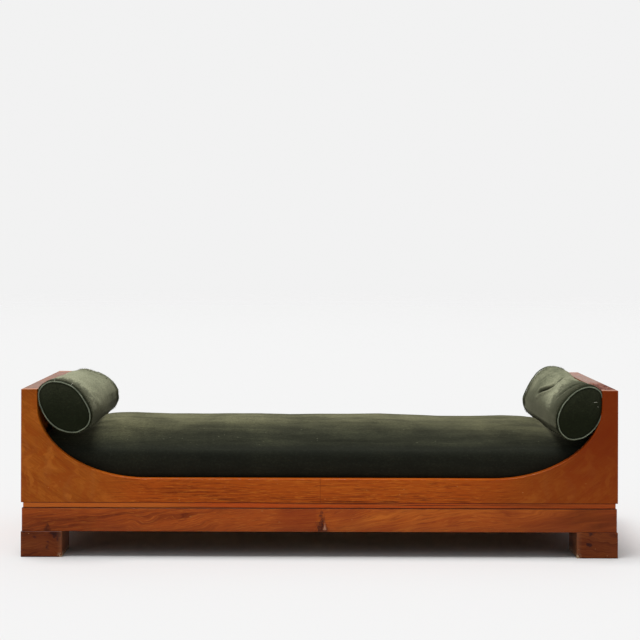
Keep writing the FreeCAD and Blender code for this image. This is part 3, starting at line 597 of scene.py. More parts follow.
def foot_material(look):
    """Block feet: red-brown mottled veneer, dark blotches, rubbed edges."""
    surface = Surface("foot_veneer")
    warp = surface.cloud(9.0, 2.0) - 0.5
    bent = surface.vector(surface.x, surface.y, surface.z + warp * 0.09)
    bands, fibres, pores = grain = grain_heights(surface, bent, 1.3)
    tone = bands * 0.5 + fibres * 0.35 + pores * 0.15
    surface.colour = surface.ramp(tone, (0.38, (0.080, 0.012, 0.0015)), (0.50, look.foot_tone),
                                  (0.64, (0.29, 0.068, 0.0080)))
    flecked(surface, bent, 0.35, (0.085, 0.014, 0.004), (0.30, 0.085, 0.018))
    blotches = surface.cloud(17.0, 3.0, 0.6)
    surface.paint(blotches.step(0.52, 0.68) * 0.55, (0.235, 0.046, 0.008))
    stain = surface.cloud(26.0, 2.0, place=surface.moved(surface.place, (2.0, 0, 1.0)))
    surface.paint(stain.step(0.60, 0.70) * 0.8, (0.030, 0.009, 0.010))
    chips = specks(surface, 0.014, 0.16, 1.7)
    surface.paint(chips * 0.6, (0.52, 0.25, 0.10))
    # rubbed paler towards the foot's inner edge and at its corners
    inward = abs(surface.x).step(0.925, 0.905)
    surface.paint(inward * 0.55, (0.27, 0.10, 0.04))
    near_floor = surface.z + surface.cloud(120.0, 2.0) * 0.006
    surface.paint(near_floor.step(0.0085, 0.003) * 0.7, (0.035, 0.014, 0.008))
    corner = inward * surface.z.step(0.020, 0.006) * surface.cloud(140.0, 2.0).step(0.42, 0.55)
    surface.paint(corner, (0.60, 0.42, 0.26))
    return polished(surface, grain, look.gloss * 0.8, 0.40)


def plain_wood_material(look, axis, name):
    """Bare softwood inside: year rings, fibres and a few knots."""
    surface = Surface(name)
    turned = surface.turned(surface.place, GRAIN_TURNS[axis])
    bands, fibres, _ = grain_heights(surface, turned, 1.1)
    tone = tuple(look.plain_tone)
    late = tuple(part * 0.62 for part in tone)
    pale = tuple(min(1.0, part * 1.25) for part in tone)
    surface.colour = surface.ramp(bands * 0.65 + fibres * 0.35, (0.34, late), (0.48, tone), (0.70, pale))
    knots = surface.cells(surface.turned(turned, (0, 0, 0), (2.2, 6.0, 6.0)), 1.0)[0]
    surface.paint(knots.step(0.09, 0.03) * 0.85, (0.16, 0.07, 0.03))
    normal = surface.bumps((bands, 0.25), (fibres, 0.20))
    return surface.finish(roughness=fibres * 0.2 + 0.55, normal=normal, specular_ior_level=0.25)


def steel_material():
    surface = Surface("screw_steel")
    scratches = surface.cloud(900.0, 3.0)
    tarnish = surface.cloud(160.0, 3.0)
    surface.colour = surface.ramp(tarnish, (0.35, (0.30, 0.28, 0.24)), (0.65, (0.62, 0.60, 0.55)))
    return surface.finish(metallic=1.0, roughness=scratches * 0.25 + 0.25,
                          normal=surface.bumps((scratches, 0.02)))


class DAYBED_OT_wood(bpy.types.Operator):
    """Gives every wooden piece its veneer or bare wood"""
    bl_idname = "daybed.wood"
    bl_label = "Finish the wood"

    def execute(self, context):
        look = context.scene.daybed_wood
        panel = panel_material(look)
        apron = apron_material(look)
        strip = strip_material(look)
        board = end_material(look, "z", "board_veneer")
        cross = end_material(look, "y", "cross_veneer")
        foot = foot_material(look)
        slat = plain_wood_material(look, "y", "slat_pine")
        rail = plain_wood_material(look, "x", "rail_pine")
        post = plain_wood_material(look, "z", "block_pine")
        kinds = {"side_panel": panel, "end_board": board, "foot": foot, "corner_block": post,
                 "slat_ledger": rail, "centre_stretcher": slat, "dowels": rail, "pegs": post}
        for name, node in frame["nodes"].items():
            long_side = name.startswith(("front_", "rear_"))
            if name.endswith("_apron"):
                set_material(node, apron if long_side else cross)
            elif name.endswith("_strip"):
                set_material(node, strip if long_side else cross)
            elif name.startswith("slat_") and name != "slat_screws":
                set_material(node, slat)
            else:
                for word, material in kinds.items():
                    if name.endswith(word):
                        set_material(node, material)
        return {"FINISHED"}


# Screws

SCREW_HEAD = 5 * MM
SLOT_WIDTH = 1.2 * MM
SLOT_DEPTH = 1.4 * MM
HEAD_EDGE = 0.15 * MM
HEAD_SIDES = 24


def screw_head_mesh():
    """Countersunk head with a slot, its top at the origin."""
    shape = bmesh.new()
    bmesh.ops.create_cone(shape, cap_ends=True, segments=HEAD_SIDES, radius1=SCREW_HEAD * 0.5,
                          radius2=SCREW_HEAD, depth=SCREW_HEAD * 0.5,
                          matrix=Matrix.Translation((0, 0, -HEAD_EDGE - SCREW_HEAD * 0.25)))
    top = [f for f in shape.faces if f.normal.z > 0.9]
    bmesh.ops.inset_region(shape, faces=top, thickness=SCREW_HEAD - SCREW_HEAD * 0.96)
    for face in top:
        for corner in face.verts:
            corner.co.z = 0.0
    for side in (-1, 1):
        bmesh.ops.bisect_plane(shape, geom=shape.verts[:] + shape.edges[:] + shape.faces[:],
                               plane_co=(side * SLOT_WIDTH / 2, 0, 0), plane_no=(1, 0, 0))
    slot = [f for f in shape.faces if f.normal.z > 0.9 and abs(f.calc_center_median().x) < SLOT_WIDTH / 4
            and f.calc_center_median().z > -0.01 * MM]
    pushed = bmesh.ops.extrude_face_region(shape, geom=slot)
    for part in pushed["geom"]:
        if isinstance(part, bmesh.types.BMVert):
            part.co.z -= SLOT_DEPTH
    bmesh.ops.delete(shape, geom=slot, context="FACES")
    mesh = bpy.data.meshes.new("screw_head")
    bmesh.ops.recalc_face_normals(shape, faces=shape.faces[:])
    shape.to_mesh(mesh)
    shape.free()
    return mesh


class DAYBED_OT_screws(bpy.types.Operator):
    """Puts a slotted screw into each end of each slat"""
    bl_idname = "daybed.screws"
    bl_label = "Make the slat screws"

    def execute(self, context):
        steel = steel_material()
        for name in ("ledger_screws", "corner_block_screws", "slat_screws"):
            set_material(frame["nodes"][name], steel)
        ledger_low, ledger_high = box_of("front_slat_ledger")
        line = (ledger_low[1] + ledger_high[1]) / 2
        spots = []
        for name in sorted(frame["nodes"]):
            if name.startswith("slat_") and name != "slat_screws":
                low, high = box_of(name)
                spots += [((low[0] + high[0]) / 2, side * line, SEAT_LEVEL) for side in (-1, 1)]
        tree = Shape("screws_at_points", head="NodeSocketObject", seed="NodeSocketInt")
        points = tree.out("GeometryNodeMeshToPoints", {0: tree.geometry})
        head = tree.add("GeometryNodeObjectInfo", {"Object": tree.given("head")}).outputs["Geometry"]
        turn = tree.add("FunctionNodeRandomValue", {"Max_001": math.pi, "Seed": tree.given("seed")},
                        data_type="FLOAT")
        turned = tree.out("ShaderNodeCombineXYZ", {2: turn.outputs[1]})
        tree.close(tree.out("GeometryNodeInstanceOnPoints",
                            {"Points": points, "Instance": head, "Rotation": turned}))
        pattern = bpy.data.objects.new("screw_head", screw_head_mesh())
        context.scene.collection.objects.link(pattern)
        made = tree.grow(new_object("screw_places", spots), "slat_screw_heads",
                         head=pattern, seed=4, finish=steel)
        bpy.data.objects.remove(pattern)
        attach(made, "frame")
        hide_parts("slat_screws")
        return {"FINISHED"}


# Velvet

def velvet_material(look, name, nap, band_edge):
    """Short pile: dark where one looks into it, worn and brushed in streaks along the nap axis, with painted
    light and shade.

    band_edge is the distance from the middle along Y past which the pile stands ruffled and dark.
    """
    surface = Surface(name)
    long_way = {"x": (3.0, 22.0, 26.0), "y": (20.0, 3.2, 20.0)}[nap]
    brushed = surface.streaks(long_way, 5.0, 0.6, 0.3)
    patches = surface.cloud(6.5, 3.0, 0.55)
    fine_way = tuple(part * 16.0 for part in long_way)
    fine = surface.streaks(fine_way, 3.0, 0.6)
    worn = brushed * 0.42 + patches * 0.33 + fine * 0.25
    if nap == "x":
        # the sides, looked at along the pile, get painted shade and stay dark; the top is lighter and yellower by
        # painted light from above together with rubbed pile
        surface.colour = surface.ramp(worn, (0.36, look.deep_tone), (0.52, (0.026, 0.0275, 0.0165)),
                                      (0.66, look.worn_tone))
        far = abs(surface.x).step(0.35, 0.65)
        up = surface.z + (patches - 0.5) * 0.02 + far * 0.018 - 0.007
        high = up.step(CROWN_TOP - 0.060, CROWN_TOP - 0.002)
        # painted shade on the sides
        side = surface.z.step(CROWN_TOP - 0.068, CROWN_TOP - 0.090)
        surface.paint(side * 0.75, (0.0130, 0.0145, 0.0108))
        surface.paint(high * (worn.step(0.38, 0.58) * 0.44 + 0.24), (0.150, 0.145, 0.075))
        # painted sheen along the crown, patchy with the worn streaks
        crown = (surface.z + (patches - 0.5) * 0.01).step(CROWN_TOP - 0.022, CROWN_TOP)
        surface.paint(crown * (worn.step(0.42, 0.56) * 0.45 + 0.12), (0.24, 0.23, 0.13))
    else:
        # the rolls are pale on top and stay dark below: painted light from above, together with rubbed pile
        rubbed = surface.ramp(worn, (0.40, (0.155, 0.166, 0.104)), (0.50, (0.262, 0.270, 0.176)),
                              (0.62, (0.350, 0.355, 0.235)))
        surface.colour = surface.ramp(worn, (0.36, look.deep_tone), (0.66, look.worn_tone))
        up = surface.z + (patches - 0.5) * 0.03
        surface.paint(up.step(CROWN_TOP + 0.012, CROWN_TOP + 0.115), rubbed)
        # painted highlights on the left roll's top and on the right roll's front bulge
        painted_top_highlight = up.step(CROWN_TOP + 0.085, CROWN_TOP + 0.150) * surface.x.step(0.1, -0.1)
        across, along, above = surface.x - 0.845, surface.y + 0.155, surface.z - 0.566
        painted_bulge_highlight = (across * across * 120.0 + along * along * 60.0 + above * above * 150.0).step(1.0, 0.0)
        surface.paint((painted_top_highlight * 0.7).most(painted_bulge_highlight * 0.75), (0.400, 0.408, 0.275))
    ragged = (surface.streaks((105.0, 16.0, 105.0), 4.0, 0.7)
              - 0.5) * 0.26
    wider = surface.x.step(-0.1, 0.1) * 0.050
    ruffled = (abs(surface.y) + ragged + wider).step(band_edge - 0.030, band_edge + 0.025)
    ruffled = ruffled * (abs(surface.y).step(band_edge - 0.02, SEAM_AWAY - 0.03) * 0.30 + 0.70)
    at_front = surface.y.step(0.1, -0.1) * 0.75 + 0.20
    surface.paint(ruffled * at_front, (0.0120, 0.0150, 0.0062))
    # painted shade in the folds, and painted highlight on the ridges beside them
    fold = surface.attribute("fold")
    surface.paint(fold.step(0.10, 0.75) * 0.93, (0.0100, 0.0115, 0.0055))
    surface.paint(fold.step(-0.10, -0.80) * 0.45, (0.36, 0.36, 0.245))
    # tufts of the pile lie every way, and bits of lint stick in them
    grain = surface.streaks((150.0, 150.0, 210.0), 3.0, 0.7)
    surface.paint(grain.step(0.50, 0.34) * 0.45, (0.012, 0.013, 0.008))
    surface.paint(grain.step(0.50, 0.68) * 0.35, surface.blend(1.0, surface.colour, surface.colour, "ADD"))
    lint = specks(surface, 0.0105, 0.20, 2.3) * surface.z.step(CROWN_TOP - 0.088, CROWN_TOP - 0.070)
    lint = lint * abs(surface.y).step(SEAM_AWAY - 0.001, SEAM_AWAY - 0.006)
    surface.paint(lint * 0.6, (0.26, 0.27, 0.17))
    pile = surface.cloud(1500.0, 1.0)
    normal = surface.bumps((brushed, 0.8), (fine, 0.25), (pile, 0.12))
    return surface.finish(roughness=0.92, normal=normal, specular_ior_level=0.08,
                          sheen_weight=0.90 if nap == "x" else 0.30, sheen_roughness=0.32,
                          sheen_tint=(*look.sheen_tone, 1.0))


def piping_material(look):
    """Woven bias cloth round a cord: slanting ribs, lighter where rubbed."""
    surface = Surface("piping_cloth")
    along = surface.attribute("along")
    around = surface.attribute("around")
    slant = along * 900.0 + around * (2.0 * math.pi * 3.0)
    ribs = slant.sine() * 0.5 + 0.5
    threads = (slant * 0.5 - around * (2.0 * math.pi * 14.0)).sine() * 0.5 + 0.5
    rubbed = surface.cloud(55.0, 4.0)
    tone = tuple(look.cord_tone)
    dark = tuple(part * 0.45 for part in tone)
    pale = tuple(min(1.0, part * 1.5) for part in tone)
    surface.colour = surface.ramp(rubbed * 0.7 + ribs * 0.3, (0.28, dark), (0.50, tone), (0.74, pale))
    normal = surface.bumps((ribs, 0.22), (threads, 0.10))
    return surface.finish(roughness=0.82, normal=normal, specular_ior_level=0.2,
                          sheen_weight=0.25, sheen_roughness=0.5)


def tuft_material(look):
    surface = Surface("velvet_pile")
    mottled = surface.cloud(260.0, 2.0)
    surface.colour = surface.ramp(mottled, (0.35, (0.010, 0.013, 0.0055)), (0.62, (0.040, 0.045, 0.020)),
                                  (0.80, look.worn_tone))
    return surface.finish(roughness=0.9, specular_ior_level=0.05, sheen_weight=0.4,
                          sheen_roughness=0.45, sheen_tint=(*look.sheen_tone, 1.0))


def thread_material():
    surface = Surface("loose_thread")
    twist = surface.cloud(1400.0, 2.0)
    surface.colour = surface.ramp(twist, (0.30, (0.36, 0.36, 0.27)), (0.70, (0.62, 0.61, 0.49)))
    return surface.finish(roughness=0.8, normal=surface.bumps((twist, 0.1)),
                          sheen_weight=0.3)


# Cushions: each starts from its own solid, is made a little smaller, and is blown up again

def points_of(mesh):
    found = np.empty(len(mesh.vertices) * 3, np.float64)
    mesh.vertices.foreach_get("co", found)
    return found.reshape(-1, 3)


def normals_of(mesh):
    found = np.empty(len(mesh.vertices) * 3, np.float32)
    mesh.vertices.foreach_get("normal", found)
    return found.reshape(-1, 3).astype(np.float64)


def set_points(mesh, points):
    mesh.vertices.foreach_set("co", points.astype(np.float32).ravel())
    mesh.update()


def soft_step(value, low, high):
    """0 below low, 1 above high, smooth between; or the reverse. For arrays of numbers."""
    share = np.clip((value - low) / (high - low), 0.0, 1.0)
    return share * share * (3.0 - 2.0 * share)


def bell(value, middle, width):
    """1 at a middle value, falling off over a width, for arrays of numbers."""
    return np.exp(-((value - middle) / width) ** 2)


def lumps(points, size, seed, stretch=(1.0, 1.0, 1.0)):
    """Smooth noise between about -1 and 1 at points, on lumps of a size."""
    scale = Vector(stretch) / size
    shift = Vector((seed * 7.3, seed * 1.9, -seed * 3.7))
    found = []
    for x, y, z in points:
        found.append(noise.noise(Vector((x * scale.x, y * scale.y, z * scale.z)) + shift))
    return np.array(found)


def store(thing, name, values):
    """Keeps one number for each point as an attribute."""
    kept = thing.data.attributes.new(name, "FLOAT", "POINT")
    kept.data.foreach_set("value", values.astype(np.float32))


def remeshed(node, name, voxel):
    """Closed even mesh round a node's solid."""
    shape = bmesh.new()
    shape.from_mesh(frame["nodes"][node].data)
    bmesh.ops.remove_doubles(shape, verts=shape.verts, dist=0.02 * MM)
    mesh = bpy.data.meshes.new(name)
    shape.to_mesh(mesh)
    shape.free()
    rough = bpy.data.objects.new(name, mesh)
    bpy.context.scene.collection.objects.link(rough)
    modifier = rough.modifiers.new("even", "REMESH")
    modifier.mode = "VOXEL"
    modifier.voxel_size = voxel
    modifier.adaptivity = 0.0
    even = evaluated_mesh(rough, name)
    rough.modifiers.clear()
    rough.data = even
    return rough


def relaxed(thing, rounds):
    """Smooths a mesh so that no voxel steps stay."""
    shape = bmesh.new()
    shape.from_mesh(thing.data)
    for _ in range(rounds):
        bmesh.ops.smooth_vert(shape, verts=shape.verts, factor=0.5,
                              use_axis_x=True, use_axis_y=True, use_axis_z=True)
    shape.to_mesh(thing.data)
    shape.free()


LEAST_HOLD = 0.01
LAST_FRAME = 20


def inflated(thing, sizes, held):
    """Points of a cover after its filling has pressed on it, with some points held."""
    group = thing.vertex_groups.new(name="held")
    for index in np.flatnonzero(held > LEAST_HOLD):
        group.add([int(index)], float(held[index]), "REPLACE")
    modifier = thing.modifiers.new("filling", "CLOTH")
    cloth = modifier.settings
    cloth.quality = 5
    cloth.mass = 0.3
    cloth.tension_stiffness = 18
    cloth.compression_stiffness = 18
    cloth.shear_stiffness = 8
    cloth.bending_stiffness = 1.5
    cloth.use_pressure = True
    cloth.uniform_pressure_force = sizes.pressure
    cloth.effector_weights.gravity = 0.0
    cloth.vertex_group_mass = "held"
    modifier.collision_settings.use_collision = False
    modifier.collision_settings.use_self_collision = False
    modifier.point_cache.frame_start = 1
    modifier.point_cache.frame_end = LAST_FRAME
    scene = bpy.context.scene
    for number in range(1, LAST_FRAME + 1):
        scene.frame_set(number)
    blown = evaluated_mesh(thing, "blown")
    found = points_of(blown)
    thing.modifiers.clear()
    thing.vertex_groups.clear()
    bpy.data.meshes.remove(blown)
    scene.frame_set(1)
    return found


def swollen(thing, sizes, held):
    """Blows a cover up from a slightly smaller shape, and caps how far a point may move."""
    outer = points_of(thing.data)
    smaller = outer - normals_of(thing.data) * (sizes.inset * (1.0 - held))[:, None]
    set_points(thing.data, smaller)
    moved = inflated(thing, sizes, held) - smaller
    length = np.linalg.norm(moved, axis=1)
    share = np.minimum(1.0, sizes.cap / np.maximum(length, 1e-9))
    set_points(thing.data, smaller + moved * share[:, None])


def subdivided(thing):
    modifier = thing.modifiers.new("finer", "SUBSURF")
    modifier.levels = modifier.render_levels = 1
    mesh = evaluated_mesh(thing, thing.name)
    thing.modifiers.clear()
    thing.data = mesh
    smooth(thing)


PUSH_REACH = 0.04


def pushed_clear(points, surface, gap, near_by):
    """Points moved out of another piece's surface, to a gap from it, where they may be near it."""
    found = points.copy()
    for i in np.flatnonzero(near_by):
        spot = Vector(points[i])
        near, normal, _, _ = surface.find_nearest(spot, PUSH_REACH)
        if near is not None and (spot - near).dot(normal) < gap:
            found[i] = near + normal * gap
    return found


def solid_surface(node):
    """Search tree of a node's faces."""
    mesh = frame["nodes"][node].data
    corners = [vertex.co for vertex in mesh.vertices]
    return BVHTree.FromPolygons(corners, [face.vertices for face in mesh.polygons])


def crease(points, normals, flat, line, depth, width, ridge):
    """Presses a fold into a surface along a line of places with their own share of the depth.

    flat and the places of the line are positions on the unrolled surface. Returns the points and
    a mark for painted shade and highlight: 1 deep in the fold, below 0 on the ridges beside it.
    """
    best = np.full(len(points), 1e9)
    share = np.zeros(len(points))
    for (a, at_a), (b, at_b) in zip(line, line[1:]):
        run = b - a
        t = np.clip(((flat - a) @ run) / (run @ run), 0.0, 1.0)
        away = np.linalg.norm(flat - (a + t[:, None] * run), axis=1)
        nearer = away < best
        best = np.where(nearer, away, best)
        share = np.where(nearer, at_a + t * (at_b - at_a), share)
    fold = bell(best, 0.0, width) * share
    beside = bell(best, 2.3 * width, 1.2 * width) * share
    mark = (bell(best, 0.0, 1.4 * width) - 0.7 * bell(best, 3.0 * width, 1.2 * width)) * share
    return points + normals * (beside * ridge - fold * depth)[:, None], mark


class Roll:
    """One bolster: its side word, the folds that the photograph shows in it, and its fuller outline.

    rim gives, at angles in degrees round the roll, how much the end seam's radius differs from the
    solid's; far gives what the rear end has more than that in millimetres, and swell how far the
    body stands out of the solid.
    """

    def __init__(self, word, rim, far, swell, folds, threads):
        self.word = word
        self.rim = rim
        self.far = far
        self.swell = swell
        self.folds = folds
        self.threads = threads
        self.node = word + "_bolster"

    def cords(self):
        return [f"{self.node}_{end}_piping" for end in ("front", "rear")]

    def outward(self, points):
        """Angles and distances of points round the roll's length."""
        middle = ring_middle(self.node)
        across, up = points[:, 0] - middle[0], points[:, 2] - middle[1]
        return np.arctan2(up, across), np.hypot(across, up)

    def stretched(self, points, grow):
        """Points moved away from the roll's length by their own distances."""
        turn, _ = self.outward(points)
        found = points.copy()
        found[:, 0] += np.cos(turn) * grow
        found[:, 2] += np.sin(turn) * grow
        return found

    def unrolled(self, points):
        """Positions of points on the cover, laid flat."""
        return np.stack([self.outward(points)[0] * 0.1, points[:, 1]], axis=1)

    def rimmed(self, points, share):
        """Points brought onto the end seam's outline by a share."""
        turn, reach = self.outward(points)
        at_rear = soft_step(points[:, 1], 0.05, 0.28)
        return self.stretched(points, reach * table_at(self.rim, turn) * share
                              + table_at(self.far, turn) * MM * at_rear)


def table_at(table, turn):
    """Values at angles from a closed table of angles in degrees and values."""
    angles, values = np.array(table).T
    return np.interp(np.degrees(turn) % 360.0, angles, values, period=360.0)


# Places on the covers in metres, with the share of the fold's depth at each
RIGHT_DEEP_FOLD = (((0.8350, 0.135, 0.530), 0.0), ((0.8420, 0.085, 0.541), 0.8),
                   ((0.8520, 0.030, 0.556), 1.0), ((0.8640, -0.025, 0.570), 1.0),
                   ((0.8790, -0.055, 0.583), 1.0), ((0.8950, -0.050, 0.594), 1.0),
                   ((0.9120, -0.015, 0.605), 0.8), ((0.9300, 0.010, 0.611), 0.4),
                   ((0.9480, 0.020, 0.612), 0.0))
RIGHT_LOW_FOLD = (((0.8500, -0.195, 0.545), 0.0), ((0.8650, -0.212, 0.563), 0.6),
                  ((0.8850, -0.224, 0.583), 1.0), ((0.9080, -0.234, 0.597), 0.9),
                  ((0.9350, -0.245, 0.605), 0.6), ((0.9580, -0.250, 0.604), 0.0))
RIGHT_BACK_FOLD = (((0.8560, 0.205, 0.570), 0.0), ((0.8760, 0.170, 0.590), 0.7),
                   ((0.9000, 0.150, 0.606), 0.7), ((0.9250, 0.140, 0.613), 0.0))
LEFT_SOFT_FOLD = (((-0.8420, -0.175, 0.555), 0.0), ((-0.8300, -0.120, 0.540), 0.9),
                  ((-0.8240, -0.060, 0.528), 0.6), ((-0.8200, 0.000, 0.518), 0.0))
LEFT_RIM = ((26, -0.03), (72, 0.015), (104, -0.02), (145, 0.015), (180, -0.025), (225, 0.0),
            (258, 0.01), (285, -0.025), (310, -0.035), (330, 0.015), (350, 0.035))
LEFT_FAR = ((8, 7), (24, 6.5), (42, 3), (66, -1.5), (90, -3.5), (105, -2), (119, 0), (140, 5), (170, 0), (250, 0),
            (290, -3), (303, -6), (318, -5.5), (329, -4), (339, 1), (348, 2), (358, 6.5))
LEFT_SWELL = ((40, 0), (80, 0), (115, 7), (140, 17), (170, 9), (195, 2), (240, 0), (330, 0))
RIGHT_RIM = ((8, 0.105), (42, 0.095), (72, 0.0), (92, -0.03), (126, -0.07), (174, -0.04), (200, -0.01),
             (223, -0.05), (240, -0.06), (262, 0.0), (288, 0.085), (319, 0.115), (351, 0.115))
RIGHT_FAR = ((20, 0), (40, 3), (51, 1), (61, -1.5), (71, -2), (82, 0.5), (94, 2), (109, 2),
             (119, -0.6), (135, -2.5), (151, -4.3), (166, -4.4), (179, -3.2), (190, -1.2), (199, 1.1),
             (217, 2.6), (226, 3), (250, 0))
RIGHT_SWELL = ((0, 4), (20, 8), (42, 11), (65, 6), (95, 0), (140, 0), (300, 0), (340, 2))
ROLLS = (
    Roll("left", LEFT_RIM, LEFT_FAR, LEFT_SWELL, ((LEFT_SOFT_FOLD, 2.2, 12.0, 1.2),),
         (((-0.9330, -0.3540, 0.6150), (-0.9322, -0.3570, 0.6220), (-0.9318, -0.3585, 0.6290)),
          ((-0.8780, -0.3540, 0.6020), (-0.8730, -0.3570, 0.6070), (-0.8680, -0.3585, 0.6115)))),
    Roll("right", RIGHT_RIM, RIGHT_FAR, RIGHT_SWELL,
         ((RIGHT_DEEP_FOLD, 15.0, 10.0, 6.5), (RIGHT_LOW_FOLD, 5.0, 8.0, 4.0), (RIGHT_BACK_FOLD, 3.0, 10.0, 2.0)),
         (((0.9640, -0.3588, 0.5480), (0.9700, -0.3596, 0.5496), (0.9760, -0.3590, 0.5488)),
          ((0.9775, -0.3580, 0.5350), (0.9790, -0.3590, 0.5330), (0.9800, -0.3585, 0.5310)))),
)


def ring_middle(node):
    low, high = box_of(node)
    return np.array([(low[0] + high[0]) / 2, (low[2] + high[2]) / 2])


def shaped_roll(roll, sizes):
    """Cover of a bolster: even mesh, blown up, then gathers at the seams and folds."""
    cover = remeshed(roll.node, roll.node + "_cover", sizes.bolster_voxel)
    relaxed(cover, 4)
    points = points_of(cover.data)
    # held at the seams, over the end discs, on the mattress and at the end board
    at_seam = soft_step(np.abs(points[:, 1]), SEAM_AWAY - 0.030, SEAM_AWAY - 0.008)
    on_seat = soft_step(points[:, 2], CROWN_TOP + 0.010, CROWN_TOP - 0.012)
    at_board = soft_step(np.abs(points[:, 0]), INNER_LENGTH - 0.010, INNER_LENGTH - 0.003)
    held = np.maximum.reduce((at_seam, on_seat, at_board))
    swollen(cover, sizes, held)
    subdivided(cover)
    points, normals = points_of(cover.data), normals_of(cover.data)
    depth = np.abs(points[:, 1])
    on_disc = soft_step(depth, SEAM_AWAY + 0.0005, SEAM_AWAY + 0.002)
    body = 1.0 - soft_step(depth, SEAM_AWAY - 0.004, SEAM_AWAY)
    # the photograph's fuller outline: the end seams, the side at the end board, and a round shoulder
    points = roll.rimmed(points, soft_step(depth, 0.16, SEAM_AWAY - 0.02))
    turn = roll.outward(points)[0]
    slack = 0.35 + 0.65 * soft_step(np.abs(points[:, 1]), 0.08, 0.19) if roll.word == "right" else 1.0
    fullness = 0.30 + 0.70 * soft_step(SEAM_AWAY - depth, 0.01, 0.13)
    points = roll.stretched(points, table_at(roll.swell, turn) * MM * body * slack * fullness)
    above = soft_step(points[:, 2], CROWN_TOP - 0.030, CROWN_TOP + 0.020)
    shoulder = bell(depth, SEAM_AWAY - 0.026, 0.019) * body * (0.35 + 0.65 * above)
    shoulder *= np.where(points[:, 1] < 0, 1.0, 0.1)
    shoulder *= 1.0 - 0.65 * soft_step(np.abs(points[:, 0]), INNER_LENGTH - 0.050, INNER_LENGTH - 0.012)
    points = roll.stretched(points, shoulder * 8.0 * MM)
    # soft unevenness of the filling, more of it on the free top
    free = soft_step(points[:, 2], CROWN_TOP + 0.012, CROWN_TOP + 0.06)
    free *= 1.0 - soft_step(np.abs(points[:, 0]), INNER_LENGTH - 0.030, INNER_LENGTH - 0.006)
    lift = lumps(points, 0.11, 3 + len(roll.word), (1.0, 0.7, 1.0)) * 2.6 * MM * free * body
    lift += lumps(points, 0.045, 9 + len(roll.word)) * 0.9 * MM * free * body
    # gathers that fan out from the end seams
    ripple = np.array([noise.noise(Vector((math.cos(a) * 9.0, math.sin(a) * 9.0, s)))
                       for a, s in zip(turn, np.sign(points[:, 1]) * 5.0)])
    near_seam = bell(depth, SEAM_AWAY, 0.022) * body
    lift += ripple * near_seam * 1.5 * MM
    # a slack disc
    radius = roll.outward(points)[1]
    lift += on_disc * (lumps(points, 0.035, 21) * 1.1 * MM - 0.6 * MM * bell(radius, 0.0, 0.03))
    points = points + normals * lift[:, None]
    mark = np.zeros(len(points))
    flat = roll.unrolled(points)
    for line, deep, width, ridge in roll.folds:
        places = roll.unrolled(np.array([place for place, _ in line]))
        marked = [(place, share) for place, (_, share) in zip(places, line)]
        points, fold_shading = crease(points, normals, flat, marked, deep * MM, width * MM, ridge * MM)
        mark += fold_shading * min(1.0, deep / 8.0)
    limit = INNER_LENGTH - 0.45 * MM
    points[:, 0] = np.clip(points[:, 0], -limit, limit)
    for name in ("front_side_panel", "rear_side_panel"):
        points = pushed_clear(points, solid_surface(name), 0.5 * MM, np.abs(points[:, 1]) > 0.322)
    set_points(cover.data, points)
    # the fold mark sets painted shade in the folds and painted highlight on their ridges
    store(cover, "fold", mark)
    return cover


def marked_band(cover):
    """Marks where ruffled pile stands."""
    points = points_of(cover.data)
    from_seam = SEAM_AWAY - np.abs(points[:, 1])
    wander = lumps(points, 0.020, 31) * 0.012
    band = soft_step(from_seam, 0.002, 0.004) * (1.0 - soft_step(from_seam + wander, 0.022, 0.060))
    store(cover, "ruffled", band)


def tuft_tree():
    """Thin cones that lean away from the nearest end seam, scattered over the marked band."""
    tree = Shape("ruffled_pile", density="NodeSocketFloat", length="NodeSocketFloat", seed="NodeSocketInt")
    seed = tree.given("seed")
    mark = tree.out("GeometryNodeInputNamedAttribute", {"Name": "ruffled"}, data_type="FLOAT")
    amount = Value(tree, mark) * Value(tree, tree.given("density"))
    spread = tree.add("GeometryNodeDistributePointsOnFaces",
                      {"Mesh": tree.geometry, "Density": amount, "Seed": seed}, distribute_method="RANDOM")
    side = tree.add("ShaderNodeSeparateXYZ", {0: tree.out("GeometryNodeInputPosition")}).outputs[1]
    back = Value(tree, tree.out("ShaderNodeMath", {0: side}, operation="SIGN")) * -0.9
    lean = tree.out("ShaderNodeCombineXYZ", {1: back})
    stray = tree.out("FunctionNodeRandomValue",
                     {"Min": (-0.7, -0.5, -0.7), "Max": (0.7, 0.5, 0.7), "Seed": seed}, data_type="FLOAT_VECTOR")
    upright = tree.out("ShaderNodeVectorMath", {0: spread.outputs["Normal"], 1: lean}, operation="ADD")
    way = tree.out("ShaderNodeVectorMath", {0: upright, 1: stray}, operation="ADD")
    aimed = tree.out("FunctionNodeAlignRotationToVector", {"Vector": way}, axis="Z")
    cone = tree.add("GeometryNodeMeshCone",
                    {"Vertices": 3, "Radius Top": 0.0, "Radius Bottom": 0.42 * MM, "Depth": tree.given("length")},
                    fill_type="NGON")
    sizes = tree.add("FunctionNodeRandomValue", {"Min_001": 0.45, "Max_001": 1.25, "Seed": seed},
                     data_type="FLOAT")
    tree.close(tree.out("GeometryNodeInstanceOnPoints",
                        {"Points": spread.outputs["Points"], "Instance": cone.outputs["Mesh"],
                         "Rotation": aimed, "Scale": sizes.outputs[1]}))
    return tree


